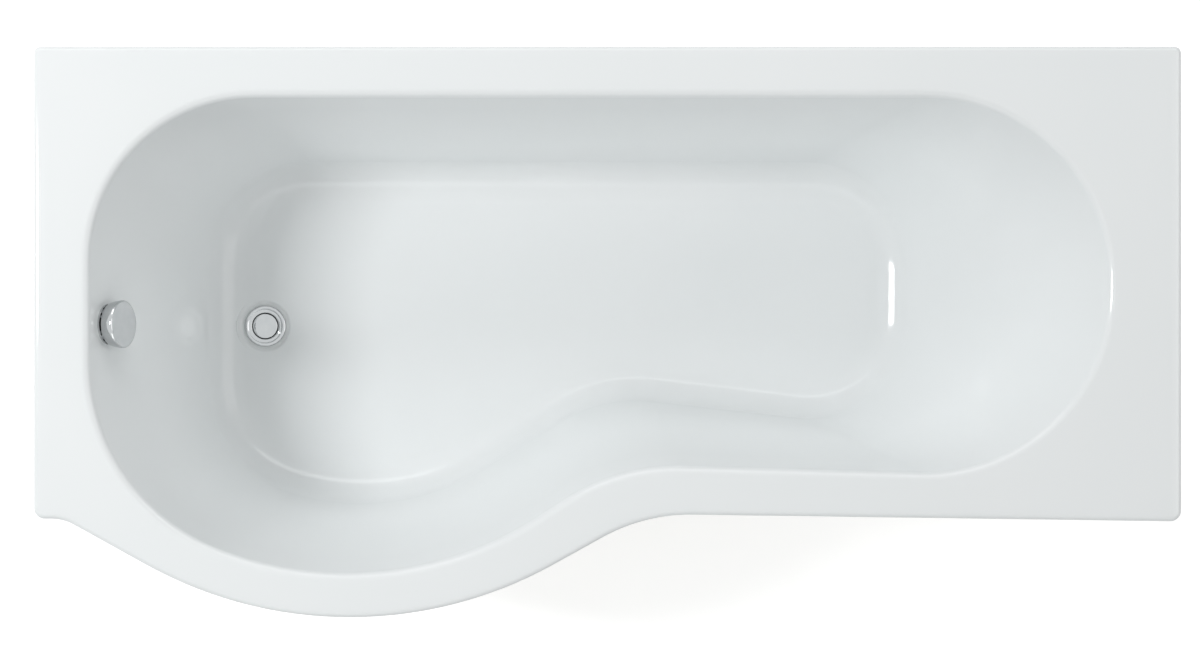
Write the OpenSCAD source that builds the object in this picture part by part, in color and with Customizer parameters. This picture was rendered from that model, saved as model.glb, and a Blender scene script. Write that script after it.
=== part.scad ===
// P shaped shower bath: a moulded acrylic tub with its backing, its leg set,
// and a pop-up waste worked from a rotary overflow knob. Millimetres.
// The origin lies on the floor under the middle of the bath. +X runs from the
// waste end to the backrest end, +Y towards the wall, +Z up.

/* [Overall] */
// Length from the waste end to the backrest end
bath_l = 1700; // [1600:5:1800]
// Width over the bulge
bath_w = 846; // [820:2:890]
// Width at the waste end
narrow_w = 700; // [680:2:730]
// Width at the backrest end
narrow_back_w = 704; // [690:2:730]
// Height of the rim above the floor
rim_h = 550; // [540:5:600]
// Depth of the well below the rim
well_d = 400; // [370:5:415]

/* [Outline] */
// Middle of the bulge, from the waste end
bulge_at = 468; // [455:1:490]
// Radius of the bulge's front
bulge_r = 623; // [580:1:660]
// Angle between the bulge's flanks and the length
bulge_flank = 29; // [27:0.5:32]
// Angle of the straight front to the wall, widening towards the backrest
front_taper = 0.8; // [0:0.1:1.2]
// Hollow radius between the waste end's front and the bulge
shoulder_r = 72; // [50:1:80]
// Hollow radius between the bulge and the straight front
waist_r = 270; // [200:5:330]
// Radius of the corners at the wall
rear_corner_r = 10; // [9:0.5:20]
// Radius of the corners at the front
front_corner_r = 16; // [10:0.5:18]
// Rounding along the outer edge of the rim
edge_r = 8; // [6:0.5:8.5]
// Height of the outer lip
lip_h = 35; // [25:1:40]

/* [Well] */
// Width of the rim at the waste end
rim_waste_w = 81; // [76:1:90]
// Width of the rim at the wall
rim_rear_w = 74; // [70:1:84]
// Width of the rim at the backrest end
rim_back_w = 104; // [90:1:120]
// Width of the rim along the straight front
rim_front_w = 60; // [56:1:72]
// Width of the rim at the middle of the bulge
rim_bulge_w = 66; // [60:1:80]
// Middle of the well's bulge, from the waste end
well_bulge_at = 462; // [450:1:480]
// Radius of the well's bulge
well_bulge_r = 541; // [500:1:560]
// Angle of the bulge's flank towards the waste end
well_flank_waste = 19; // [17:0.5:21]
// Angle of the bulge's flank towards the waist
well_flank_waist = 33; // [31:0.5:35]
// Corner of the well's waist, short of the outline's waist
well_waist_at = 38; // [25:1:55]
// Radius of the waist
well_waist_r = 305; // [280:5:330]
// Radius of the rear corner at the waste end
well_waste_r = 245; // [200:5:260]
// Radius of the front corner at the waste end
well_turn_r = 311; // [290:1:320]
// Radius of both corners at the backrest end
well_back_r = 277; // [250:1:280]
// Rounding between the rim and the walls of the well
rim_r = 13; // [9:0.5:15]

/* [Well floor] */
// Slope of the end wall from upright
waste_wall_slope = 15.4; // [13:0.1:17]
// Slope of the wall at the rear
rear_wall_slope = 10; // [8:0.1:11]
// Slope of the backrest
backrest_slope = 32.4; // [30:0.1:34]
// Slope of the front wall beside the backrest
front_wall_slope = 8.3; // [7:0.1:10]
// Slope of the wall in the middle of the bulge
bulge_wall_slope = 11.6; // [10:0.1:13]
// Middle of the floor's bulge, from the waste end
floor_bulge_at = 432; // [425:1:440]
// Radius of the floor's bulge
floor_bulge_r = 395; // [370:1:400]
// Angle of the floor's flank towards the waste end
floor_flank_waste = 14; // [13:0.5:15]
// Angle of the floor's flank towards the waist
floor_flank_waist = 31.5; // [30:0.5:33]
// Corner of the floor's waist, short of the outline's waist
floor_waist_at = 64; // [55:1:75]
// Radius of the floor's waist
floor_waist_r = 240; // [220:5:260]
// Radius of the floor's rear corner at the waste end
floor_waste_r = 165; // [150:5:180]
// Radius of the floor's front corner at the waste end
floor_turn_r = 190; // [180:5:200]
// Radius of the floor's corners at the backrest end
floor_back_r = 169; // [150:1:180]
// Hollow rounding between the walls and the floor
cove_r = 65; // [55:1:75]

/* [Shell] */
// Thickness of the acrylic
shell_t = 5; // [3.5:0.5:5]
// Thickness of the glass fibre backing
backing_t = 3; // [2:0.5:4]
// Thickness of the base board
board_t = 18; // [15:1:20]
// Distance of the board's edge inside the foot of the walls
board_inset = 68; // [66:1:90]
// Diameter of the board's cut-out round the waste
board_hole_d = 120; // [110:2:140]
// Width of the timber battens under the rim
batten_w = 30; // [24:1:32]
// Thickness of the timber battens
batten_t = 18; // [15:1:20]
// Gap between the outer edge of the rim and a batten
batten_inset = 12; // [10:1:14]

/* [Waste] */
// Middle of the waste, from the waste end
waste_at = 267; // [260:1:280]
// Middle of the waste and the overflow, from the wall side
waste_from_rear = 411; // [400:1:420]
// Diameter of the chrome flange
flange_d = 70; // [66:0.5:74]
// Diameter of the pop-up plug
plug_d = 42; // [38:0.5:44]
// Diameter of the waste hole in the shell
waste_hole_d = 54; // [52:0.5:56]
// Diameter of the moulded recess round the flange
dish_d = 87; // [80:1:90]
// Depth of that recess
dish_depth = 3; // [2:0.5:4]
// Outer diameter of the threaded tail, for a 1 1/2 inch trap
tail_d = 47.8; // [46:0.1:50]
// Length of the threaded tail
tail_l = 28; // [22:1:32]
// How far the plug lifts
plug_lift = 10; // [8:0.5:12]
// Length of the lever arm under the plug
lever_arm = 34; // [32:0.5:38]

/* [Overflow] */
// Middle of the overflow below the rim
overflow_drop = 56; // [50:1:62]
// Diameter of the knob
knob_d = 72; // [66:0.5:76]
// Thickness of the knob
knob_t = 20; // [17:0.5:24]
// Gap between the knob and the end wall
knob_gap = 7; // [6:0.5:9]
// Diameter of the overflow hole in the end wall
overflow_hole_d = 52; // [51:0.5:54]
// Diameter of the plate behind the knob
plate_d = 62; // [59:0.5:64]
// Diameter of the spindle
spindle_d = 10; // [8:0.5:12]
// Depth of the overflow body behind the wall
cup_depth = 40; // [38:1:46]
// Outer diameter of the ribbed hose
hose_d = 32; // [30:0.5:34]
// Distance between two ribs of the hose
rib_pitch = 5; // [4.5:0.1:7]
// Outer diameter of the cable's sheath
cable_d = 6; // [5:0.5:7]

/* [Legs] */
// Height of the channels under the board
channel_h = 30; // [26:1:32]
// Width of the channels
channel_w = 40; // [36:1:50]
// Thickness of the channels' steel
channel_t = 2; // [1.5:0.5:3]
// Length of the channel at the waste end
channel_waste_l = 620; // [560:5:640]
// Length of the channel at the backrest end
channel_back_l = 520; // [480:5:540]
// Channel at the waste end, from that end
channel_waste_at = 430; // [420:5:460]
// Channel at the backrest end, from that end
channel_back_at = 520; // [500:5:560]
// Diameter of the foot studs
stud_d = 10; // [8:0.5:12]
// Diameter of the foot pads
pad_d = 50; // [44:1:60]
// Distance between the two brackets at the wall
bracket_span = 1000; // [800:10:1100]

/* [Hidden] */
$fn = 48;

// Clearances
run_gap = 0.06;     // round a turning or sliding shaft
free_gap = 0.3;     // between pieces that must not touch
fit_gap = 0.1;      // round a piece that is pushed or screwed in

// Corners in plan: points round each corner, and points along each rounding
arc_n = 11;
edge_n = 5;
rim_n = 6;
cove_n = 7;

// ---------- plan outlines ----------

waste_end = -bath_l / 2;
back_end = bath_l / 2;
wall_side = bath_w / 2;
bulge_front = -bath_w / 2;
narrow_front = wall_side - narrow_w;
waste_x = waste_end + waste_at;
waste_y = wall_side - waste_from_rear;

function xy(v) = [v.x, v.y];
function unit(v) = v / norm(v);
function left_of(v) = [-v.y, v.x];
function turned(v, a) = [v.x * cos(a) - v.y * sin(a), v.x * sin(a) + v.y * cos(a)];
// Height of a sloped line at x, through the point p, at the angle a
function line_y(p, a, x) = p.y + (x - p.x) * tan(a);
// x of the crossing of two lines, each through a point at an angle
function cross_x(p, a, q, b) = (q.y - p.y + p.x * tan(a) - q.x * tan(b)) / (tan(a) - tan(b));
// Point of a circle (middle c, radius r) where a tangent at angle a touches below
function touch(c, r, a) = c + r * [sin(a), -cos(a)];

// Outer edge: corners as [x, y, radius], counter-clockwise from the rear waste end
outer_c = [waste_end + bulge_at, bulge_front + bulge_r];
outer_tip_y = bulge_front - bulge_r * (1 / cos(bulge_flank) - 1);
outer_half = (narrow_front - outer_tip_y) / tan(bulge_flank);
outer_back = [back_end, wall_side - narrow_back_w];
waist_x = cross_x(outer_back, -front_taper, [outer_c.x, outer_tip_y], bulge_flank);
outer_corners = [
    [waste_end, wall_side, rear_corner_r],
    [waste_end, narrow_front, front_corner_r],
    [outer_c.x - outer_half, narrow_front, shoulder_r],
    [outer_c.x, outer_tip_y, bulge_r],
    [waist_x, line_y(outer_back, -front_taper, waist_x), waist_r],
    [outer_back.x, outer_back.y, front_corner_r],
    [back_end, wall_side, rear_corner_r]
];

// A P shaped opening: left, rear, right and front lines, and a bulge round a circle
function p_corners(left, rear, right, front, c, bulge_radius, flank_a, flank_b, waist_x, radii) =
    let (
        a = touch(c, bulge_radius, -flank_a),
        b = touch(c, bulge_radius, flank_b),
        tip_x = cross_x(a, -flank_a, b, flank_b)
    ) [
        [left, rear, radii[0]],
        [left, line_y(a, -flank_a, left), radii[1]],
        [tip_x, line_y(a, -flank_a, tip_x), bulge_radius],
        [waist_x, line_y(b, flank_b, waist_x), radii[2]],
        [right, front, radii[3]],
        [right, rear, radii[3]]
    ];

well_left = waste_end + rim_waste_w;
well_rear = wall_side - rim_rear_w;
well_right = back_end - rim_back_w;
well_front = narrow_front + rim_front_w;
well_bulge_front = bulge_front + rim_bulge_w;
// The front corner at the waste end leaves the wall flat under the overflow's plate
turn_touch = touch([waste_end + well_bulge_at, well_bulge_front + well_bulge_r], well_bulge_r, -well_flank_waste);
plate_room = 4;
turn_room = (waste_y - plate_d / 2 - plate_room - line_y(turn_touch, -well_flank_waste, well_left))
    / tan((90 - well_flank_waste) / 2);
well_corners = p_corners(well_left, well_rear, well_right, well_front,
    [waste_end + well_bulge_at, well_bulge_front + well_bulge_r], well_bulge_r,
    well_flank_waste, well_flank_waist, waist_x - well_waist_at,
    [well_waste_r, min(well_turn_r, turn_room), well_waist_r, well_back_r]);

// The lines where the walls would meet the floor if there were no cove
floor_left = well_left + well_d * tan(waste_wall_slope);
floor_rear = well_rear - well_d * tan(rear_wall_slope);
floor_right = well_right - well_d * tan(backrest_slope);
floor_front = well_front + well_d * tan(front_wall_slope);
floor_bulge_front = well_bulge_front + well_d * tan(bulge_wall_slope);
floor_corners = p_corners(floor_left, floor_rear, floor_right, floor_front,
    [waste_end + floor_bulge_at, floor_bulge_front + floor_bulge_r], floor_bulge_r,
    floor_flank_waste, floor_flank_waist, waist_x - floor_waist_at,
    [floor_waste_r, floor_turn_r, floor_waist_r, floor_back_r]);

function next(p, i) = p[(i + 1) % len(p)];
function prev(p, i) = p[(i + len(p) - 1) % len(p)];
function side_in(p, i) = xy(p[i]) - xy(prev(p, i));
function side_out(p, i) = xy(next(p, i)) - xy(p[i]);
function turn_at(p, i) = let (a = side_in(p, i), b = side_out(p, i)) atan2(cross(a, b), a * b);
function tangent_at(p, i) = p[i][2] * tan(abs(turn_at(p, i)) / 2);
// Share of its radius that a corner may keep, so that neighbours don't meet
function room_at(p, i) =
    let (
        n = len(p),
        t = tangent_at(p, i),
        before = tangent_at(p, (i + n - 1) % n),
        after = tangent_at(p, (i + 1) % n)
    ) min(1, 0.98 * norm(side_in(p, i)) / (before + t), 0.98 * norm(side_out(p, i)) / (t + after));

// Corner i of an outline as k points, each [x, y, outward x, outward y]
function corner_arc(p, i, k) =
    let (
        a = unit(side_in(p, i)),
        th = turn_at(p, i),
        r = p[i][2] * room_at(p, i) * sign(th),
        c = xy(p[i]) - a * abs(r) * tan(abs(th) / 2) + left_of(a) * r
    ) [for (j = [0:k - 1])
        let (out = -left_of(turned(a, th * j / (k - 1))), q = c + out * r)
        [q.x, q.y, out.x, out.y]];

// A whole outline. Corner "double" takes the points of two, so that outlines
// with six and seven corners have matching points
function outline(p, double = -1) =
    let (arcs = [for (i = [0:len(p) - 1]) corner_arc(p, i, i == double ? 2 * arc_n + 1 : arc_n)])
    [for (i = [0:len(p) - 1])
        let (
            last = arcs[i][len(arcs[i]) - 1],
            first = next(arcs, i)[0]
        )
        each concat(arcs[i], [[(last.x + first.x) / 2, (last.y + first.y) / 2, last[2], last[3]]])];

outer = outline(outer_corners);
well = outline(well_corners, 1);
well_floor = outline(floor_corners, 1);
cols = len(outer);

// ---------- the moulding ----------

floor_z = rim_h - well_d;
floor_mid = [(floor_corners[0].x + floor_corners[3].x) / 2, (floor_corners[0].y + floor_corners[3].y) / 2, floor_z];

// k points on a fillet of radius r at b, between the directions to a and c
function fillet(a, b, c, r, k) =
    let (
        u = unit(a - b),
        w = unit(c - b),
        half = acos(u * w) / 2,
        mid = b + unit(u + w) * r / sin(half),
        v0 = b + u * r / tan(half) - mid,
        v1 = b + w * r / tan(half) - mid,
        sweep = 180 - 2 * half
    ) [for (j = [0:k - 1])
        mid + (v0 * sin(sweep * (1 - j / (k - 1))) + v1 * sin(sweep * j / (k - 1))) / sin(sweep)];

// One section of the upper face, from the bottom of the lip to the floor
function section(o, w, f) =
    let (
        lip = [o.x, o.y, rim_h - lip_h],
        edge = [o.x, o.y, rim_h],
        deck_in = [o.x - o[2], o.y - o[3], rim_h],
        deck_out = [w.x + w[2], w.y + w[3], rim_h],
        wall_top = [w.x, w.y, rim_h],
        wall_foot = [f.x, f.y, floor_z],
        floor_in = [f.x - f[2], f.y - f[3], floor_z]
    ) concat(
        [lip],
        fillet(lip, edge, deck_in, edge_r, edge_n),
        fillet(deck_out, wall_top, wall_foot, rim_r, rim_n),
        fillet(wall_top, wall_foot, floor_in, cove_r, cove_n));

skin = [for (i = [0:cols - 1]) section(outer[i], well[i], well_floor[i])];
rows = len(skin[0]);

// Outward normal of the upper face at a point of the grid
function skin_normal(i, j) =
    let (
        along = skin[(i + 1) % cols][j] - skin[(i + cols - 1) % cols][j],
        after = j == rows - 1 ? floor_mid : skin[i][j + 1],
        before = j == 0 ? skin[i][j] : skin[i][j - 1]
    ) unit(cross(along, after - before));

normals = [for (i = [0:cols - 1]) [for (j = [0:rows - 1]) skin_normal(i, j)]];

// The sheet between two depths under the upper face, from row j0 to the floor
module sheet(top_t, bottom_t, j0) {
    n = rows - j0;
    top = [for (i = [0:cols - 1]) for (j = [j0:rows - 1]) skin[i][j] - normals[i][j] * top_t];
    bottom = [for (i = [0:cols - 1]) for (j = [j0:rows - 1]) skin[i][j] - normals[i][j] * bottom_t];
    mids = [floor_mid - [0, 0, top_t], floor_mid - [0, 0, bottom_t]];
    base = cols * n;
    at = function(i, j) (i % cols) * n + j;
    under = function(i, j) base + at(i, j);
    quad = function(a, b, c, d) [[a, b, c], [a, c, d]];
    faces = concat(
        [for (i = [0:cols - 1]) for (j = [0:n - 2])
            each quad(at(i, j), at(i, j + 1), at(i + 1, j + 1), at(i + 1, j))],
        [for (i = [0:cols - 1]) for (j = [0:n - 2])
            each quad(under(i, j), under(i + 1, j), under(i + 1, j + 1), under(i, j + 1))],
        [for (i = [0:cols - 1]) each quad(at(i, 0), at(i + 1, 0), under(i + 1, 0), under(i, 0))],
        [for (i = [0:cols - 1]) [at(i + 1, n - 1), at(i, n - 1), 2 * base]],
        [for (i = [0:cols - 1]) [under(i, n - 1), under(i + 1, n - 1), 2 * base + 1]]);
    polyhedron(concat(top, bottom, mids), faces);
}

// ---------- places of the fittings ----------

seat_z = floor_z - dish_depth;              // the flange's seat
backing_back = -shell_t - backing_t;        // back of the backing, from the upper face
washer_t = 3;
seal_t = 1.5;
body_top = -shell_t - washer_t;

module at_waste() translate([waste_x, waste_y, seat_z]) children();

// On the face of the end wall: local +z points into the well, local +x down the wall
wall_tilt = 90 - waste_wall_slope;
overflow_at = [well_left + overflow_drop * tan(waste_wall_slope), waste_y, rim_h - overflow_drop];
module at_overflow() translate(overflow_at) rotate([0, wall_tilt, 0]) children();
function from_overflow(p) = overflow_at
    + [p.x * cos(wall_tilt) + p.z * sin(wall_tilt), p.y, p.z * cos(wall_tilt) - p.x * sin(wall_tilt)];

module ring(r_out, r_in, z0, z1) {
    translate([0, 0, z0]) difference() {
        cylinder(h = z1 - z0, r = r_out);
        translate([0, 0, -1]) cylinder(h = z1 - z0 + 2, r = r_in);
    }
}

module rod(r, z0, z1) translate([0, 0, z0]) cylinder(h = z1 - z0, r = r);

dish_wall = 3.5;        // width of the recess's sloped side
module bath_shell() {
    color("white") difference() {
        union() {
            sheet(0, shell_t, 0);
            at_waste() rod(dish_d / 2 + shell_t, -shell_t, dish_depth - 0.5);
        }
        // the recess runs on into the foot of the end wall
        at_waste() {
            rotate_extrude() polygon([
                [0, 0], [dish_d / 2 - dish_wall, 0], [dish_d / 2, dish_depth], [dish_d / 2, 12], [0, 12]
            ]);
            rod(waste_hole_d / 2, -shell_t - 1, 1);
        }
        at_overflow() rod(overflow_hole_d / 2, -shell_t - 3, 3);
    }
}

backing_row = edge_n;   // the backing starts where the outer edge's rounding ends
// It is left off round the waste, whose washer clamps the acrylic alone
module grp_backing() {
    color("khaki") difference() {
        sheet(shell_t, shell_t + backing_t, backing_row);
        at_waste() rod(dish_d / 2 + shell_t, backing_back - 1, dish_depth + 6);
        at_overflow() rod(overflow_hole_d / 2, backing_back - 3, 0);
    }
}

board_z1 = floor_z - shell_t - backing_t;
board_z0 = board_z1 - board_t;
module base_board() {
    color("burlywood") difference() {
        translate([0, 0, board_z0]) linear_extrude(board_t)
            polygon([for (f = well_floor) [f.x - f[2] * board_inset, f.y - f[3] * board_inset]]);
        at_waste() rod(board_hole_d / 2, board_z0 - seat_z - 1, board_z1 - seat_z + 1);
        for (p = screw_places) translate(p) rod(screw_r + run_gap, board_z0 - 1, board_z0 + screw_l);
    }
}

// ---------- timber under the rim ----------

batten_z1 = rim_h - shell_t - backing_t;
batten_z0 = batten_z1 - batten_t;
batten_end = 60;        // clear of the neighbouring battens at the rear corners
front_batten_end = 80;  // clear of the batten at the backrest end
side_batten_end = 40;   // clear of the front corners
module batten(x0, x1, y0, y1, holes = []) {
    color("tan") difference() {
        translate([x0, y0, batten_z0]) cube([x1 - x0, y1 - y0, batten_t]);
        for (p = holes) translate(p) rod(screw_r + run_gap, batten_z0 - 1, batten_z0 + bracket_screw_l);
    }
}
rear_batten_y1 = wall_side - batten_inset;
module rim_batten_rear() batten(waste_end + batten_end, back_end - batten_end,
    rear_batten_y1 - batten_w, rear_batten_y1, bracket_screw_places);
front_batten_y0 = narrow_front + batten_inset;
front_batten_w = rim_front_w / 2 - 2;   // narrower, as the rim is there
module rim_batten_front() batten(waist_x + tangent_at(outer_corners, 4), back_end - front_batten_end,
    front_batten_y0, front_batten_y0 + front_batten_w);
module rim_batten_waste_end() batten(waste_end + batten_inset, waste_end + batten_inset + batten_w,
    narrow_front + side_batten_end, wall_side - batten_end);
module rim_batten_back_end() batten(back_end - batten_inset - batten_w, back_end - batten_inset,
    narrow_front + side_batten_end, wall_side - batten_end);

// ---------- legs ----------

screw_r = 2;
screw_l = 14;
screw_head_r = 4;
screw_head_t = 2.4;
lip_w = 14;
channel_z0 = board_z0 - channel_h;
web_z1 = channel_z0 + channel_t;
channel_waste_x = waste_end + channel_waste_at;
channel_back_x = back_end - channel_back_at;
channel_waste_y = -5;           // middle of the channel at the waste end
channel_back_y = 62;            // middle of the channel at the backrest end
centre_x = (channel_waste_x + channel_back_x) / 2;
centre_y = 75;
bracket_l = 90;                 // length of the centre foot's bracket
foot_inset = 25;                // from the end of a channel to its stud
nut_h = 8;
nut_r = 9.8;                    // across the corners
pad_h = 16;
stud_foot = 5;
stud_tail = 12;                 // stud above its upper nut
stud_top = web_z1 + nut_h + stud_tail;

foot_places = [
    [channel_waste_x, channel_waste_y + channel_waste_l / 2 - foot_inset],
    [channel_waste_x, channel_waste_y - channel_waste_l / 2 + foot_inset],
    [channel_back_x, channel_back_y + channel_back_l / 2 - foot_inset],
    [channel_back_x, channel_back_y - channel_back_l / 2 + foot_inset],
    [centre_x, centre_y]
];
// Screws through the channels' lips, [x, y] each
screw_x = channel_w / 2 + lip_w / 2 - channel_t / 2;
screw_waste_y = 150;            // from the middle of the channel at the waste end
screw_back_y = 100;             // from the middle of the channel at the backrest end
screw_end = 12;                 // from the end of the centre foot's bracket
screw_places = concat(
    [for (sx = [-1, 1]) for (sy = [-1, 1]) [channel_waste_x + sx * screw_x, channel_waste_y + sy * screw_waste_y]],
    [for (sx = [-1, 1]) for (sy = [-1, 1]) [channel_back_x + sx * screw_x, channel_back_y + sy * screw_back_y]],
    [for (sx = [-1, 1]) for (sy = [-1, 1]) [centre_x + sx * screw_x, centre_y + sy * (bracket_l / 2 - screw_end)]]);

// Top-hat section with its lips up against the board, running along Y
module channel(x, y, l, studs) {
    color("silver") difference() {
        translate([x, y + l / 2, channel_z0]) rotate([90, 0, 0]) linear_extrude(l) hat_section();
        for (p = studs) translate(p) rod(stud_d / 2 + free_gap, channel_z0 - 1, web_z1 + 1);
        for (p = screw_places) translate(p) rod(screw_r + fit_gap, board_z0 - channel_t - 1, board_z0 + 1);
    }
}
module hat_section() {
    half = channel_w / 2;
    outer_half = half + lip_w - channel_t;
    polygon([
        [-half, 0], [half, 0], [half, channel_h - channel_t], [outer_half, channel_h - channel_t],
        [outer_half, channel_h], [half - channel_t, channel_h], [half - channel_t, channel_t],
        [-half + channel_t, channel_t], [-half + channel_t, channel_h], [-outer_half, channel_h],
        [-outer_half, channel_h - channel_t], [-half, channel_h - channel_t]
    ]);
}
module leg_channel_waste_end() channel(channel_waste_x, channel_waste_y, channel_waste_l,
    [foot_places[0], foot_places[1]]);
module leg_channel_back_end() channel(channel_back_x, channel_back_y, channel_back_l,
    [foot_places[2], foot_places[3]]);
module centre_foot_bracket() channel(centre_x, centre_y, bracket_l, [foot_places[4]]);

module screw_up(z, l) {
    rod(screw_r, z - 0.1, z + l - 1);
    translate([0, 0, z - screw_head_t]) cylinder(h = screw_head_t, r1 = screw_head_r - 1, r2 = screw_head_r);
}
module channel_screws() color("gainsboro")
    for (p = screw_places) translate(p) screw_up(board_z0 - channel_t, screw_l + channel_t);

module stud_nuts() color("silver")
    for (p = foot_places) translate(p) for (z = [channel_z0 - nut_h, web_z1])
        difference() {
            translate([0, 0, z]) cylinder(h = nut_h, r = nut_r, $fn = 6);
            rod(stud_d / 2 + fit_gap, z - 1, z + nut_h + 1);
        }

module foot_stud(i) color("silver") translate(foot_places[i]) {
    chamfer = 1;
    rotate_extrude() polygon([
        [0, stud_foot], [stud_d / 2, stud_foot], [stud_d / 2, stud_top - chamfer],
        [stud_d / 2 - chamfer, stud_top], [0, stud_top]
    ]);
}

pad_screw_pitch = 34;
pad_screw_d = 5;
module foot_pad(i) color("dimgray") translate(foot_places[i]) difference() {
    rotate_extrude() polygon([
        [0, 0], [pad_d / 2 - 1, 0], [pad_d / 2, 1], [pad_d / 2, 4], [pad_d / 2 - 1, 5],
        [stud_d / 2 + 6, 6.5], [stud_d / 2 + 4, pad_h], [stud_d / 2, pad_h], [stud_d / 2, stud_foot], [0, stud_foot]
    ]);
    for (s = [-1, 1]) translate([s * pad_screw_pitch / 2, 0, -1]) cylinder(h = 9, d = pad_screw_d);
}

// ---------- wall brackets ----------

bracket_w = 40;
bracket_t = 2;
bracket_h = 54;
bracket_y = rear_batten_y1 + 1; // back of the leg that passes inside the lip
slot_l = 20;
slot_d = 6.5;
slot_drop = 34;                 // from the batten down to the slot
bracket_screw_l = 15;
bracket_screw_x = 12;           // each side of the bracket's middle
bracket_screw_places = [for (s = [-1, 1]) for (t = [-1, 1])
    [s * bracket_span / 2 + t * bracket_screw_x, rear_batten_y1 - batten_w / 2]];
// Cranked under the lip, so that its slotted leg lies against the wall
module wall_bracket(side) color("silver") translate([side * bracket_span / 2, 0, 0]) difference() {
    crank_z = rim_h - lip_h - 3;
    translate([-bracket_w / 2, 0, 0]) rotate([90, 0, 90]) linear_extrude(bracket_w) polygon([
        [rear_batten_y1 - batten_w, batten_z0], [bracket_y, batten_z0], [bracket_y, crank_z],
        [wall_side, crank_z], [wall_side, batten_z0 - bracket_h],
        [wall_side - bracket_t, batten_z0 - bracket_h], [wall_side - bracket_t, crank_z - bracket_t],
        [bracket_y - bracket_t, crank_z - bracket_t], [bracket_y - bracket_t, batten_z0 - bracket_t],
        [rear_batten_y1 - batten_w, batten_z0 - bracket_t]
    ]);
    for (t = [-1, 1]) translate([t * bracket_screw_x, rear_batten_y1 - batten_w / 2, 0])
        rod(screw_r + fit_gap, batten_z0 - bracket_t - 1, batten_z0 + 1);
    translate([0, wall_side + 1, batten_z0 - slot_drop]) rotate([90, 0, 0]) {
        for (s = [-1, 1]) translate([s * (slot_l - slot_d) / 2, 0, 0]) cylinder(h = bracket_t + 2, d = slot_d);
        translate([-(slot_l - slot_d) / 2, -slot_d / 2, 0]) cube([slot_l - slot_d, slot_d, bracket_t + 2]);
    }
}
module bracket_screws() color("gainsboro")
    for (p = bracket_screw_places) translate(p) screw_up(batten_z0 - bracket_t, bracket_screw_l + bracket_t);

// ---------- waste ----------

neck_r = waste_hole_d / 2 - 2.2;            // threaded neck through the hole
throat_r = plug_d / 2 - 1;
socket_l = 17;                              // depth of the body's socket round the neck
stem_r = 4;
hub_r = 7;
hub_l = 10;
hub_z0 = -22;
spoke_w = 2.5;
spoke_h = 4;
neck_wall = 5.2;
chamber_r = neck_r - 0.8;
lever_drop = 38.8;
lever_z = body_top - lever_drop;            // height of the lever's pivot
chamber_z0 = lever_z - 6.2;
tail_z0 = chamber_z0 - 4 - tail_l;
inlet_z = lever_z + 12;
inlet_l = 58;                               // from the waste's axis to the inlet's end
spigot_r = hose_d / 2 - 0.5;
spigot_bore_r = spigot_r - 3;
rim_inner_r = flange_d / 2 - 5.5;           // inner edge of the flange's flat ring
plug_r = plug_d / 2;
flange_z = seal_t;
flange_l = flange_z - body_top + socket_l - 0.5;

module waste_flange() color("silver") at_waste() translate([0, 0, flange_z]) {
    rotate_extrude() polygon([
        [throat_r, -5.5], [throat_r, -flange_l], [neck_r, -flange_l], [neck_r, -2.6],
        [waste_hole_d / 2 - 0.4, -1.6], [waste_hole_d / 2 - 0.4, 0], [flange_d / 2, 0],
        [flange_d / 2, 0.8], [flange_d / 2 - 0.6, 1.7], [flange_d / 2 - 1.8, 2.2], [rim_inner_r + 0.5, 2.4],
        [rim_inner_r, 2.1], [rim_inner_r - 0.7, 1.3], [waste_hole_d / 2 - 1.2, 1],
        [plug_r + 1.6, -2.4], [plug_r + 0.9, -3.6]
    ]);
    difference() {
        union() {
            for (a = [45:90:315]) rotate(a) translate([hub_r - 1, -spoke_w / 2, hub_z0 + spoke_h])
                cube([throat_r - hub_r + 2, spoke_w, spoke_h]);
            rod(hub_r, hub_z0, hub_z0 + hub_l);
        }
        rod(stem_r + run_gap, hub_z0 - 1, hub_z0 + hub_l + 1);
    }
}
module flange_seal() color("dimgray") at_waste() ring(flange_d / 2 - 1, waste_hole_d / 2 + 0.5, 0, seal_t);
module waste_washer() color("dimgray") at_waste() ring(neck_r + 13, waste_hole_d / 2 + 0.5, body_top, -shell_t);

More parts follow.
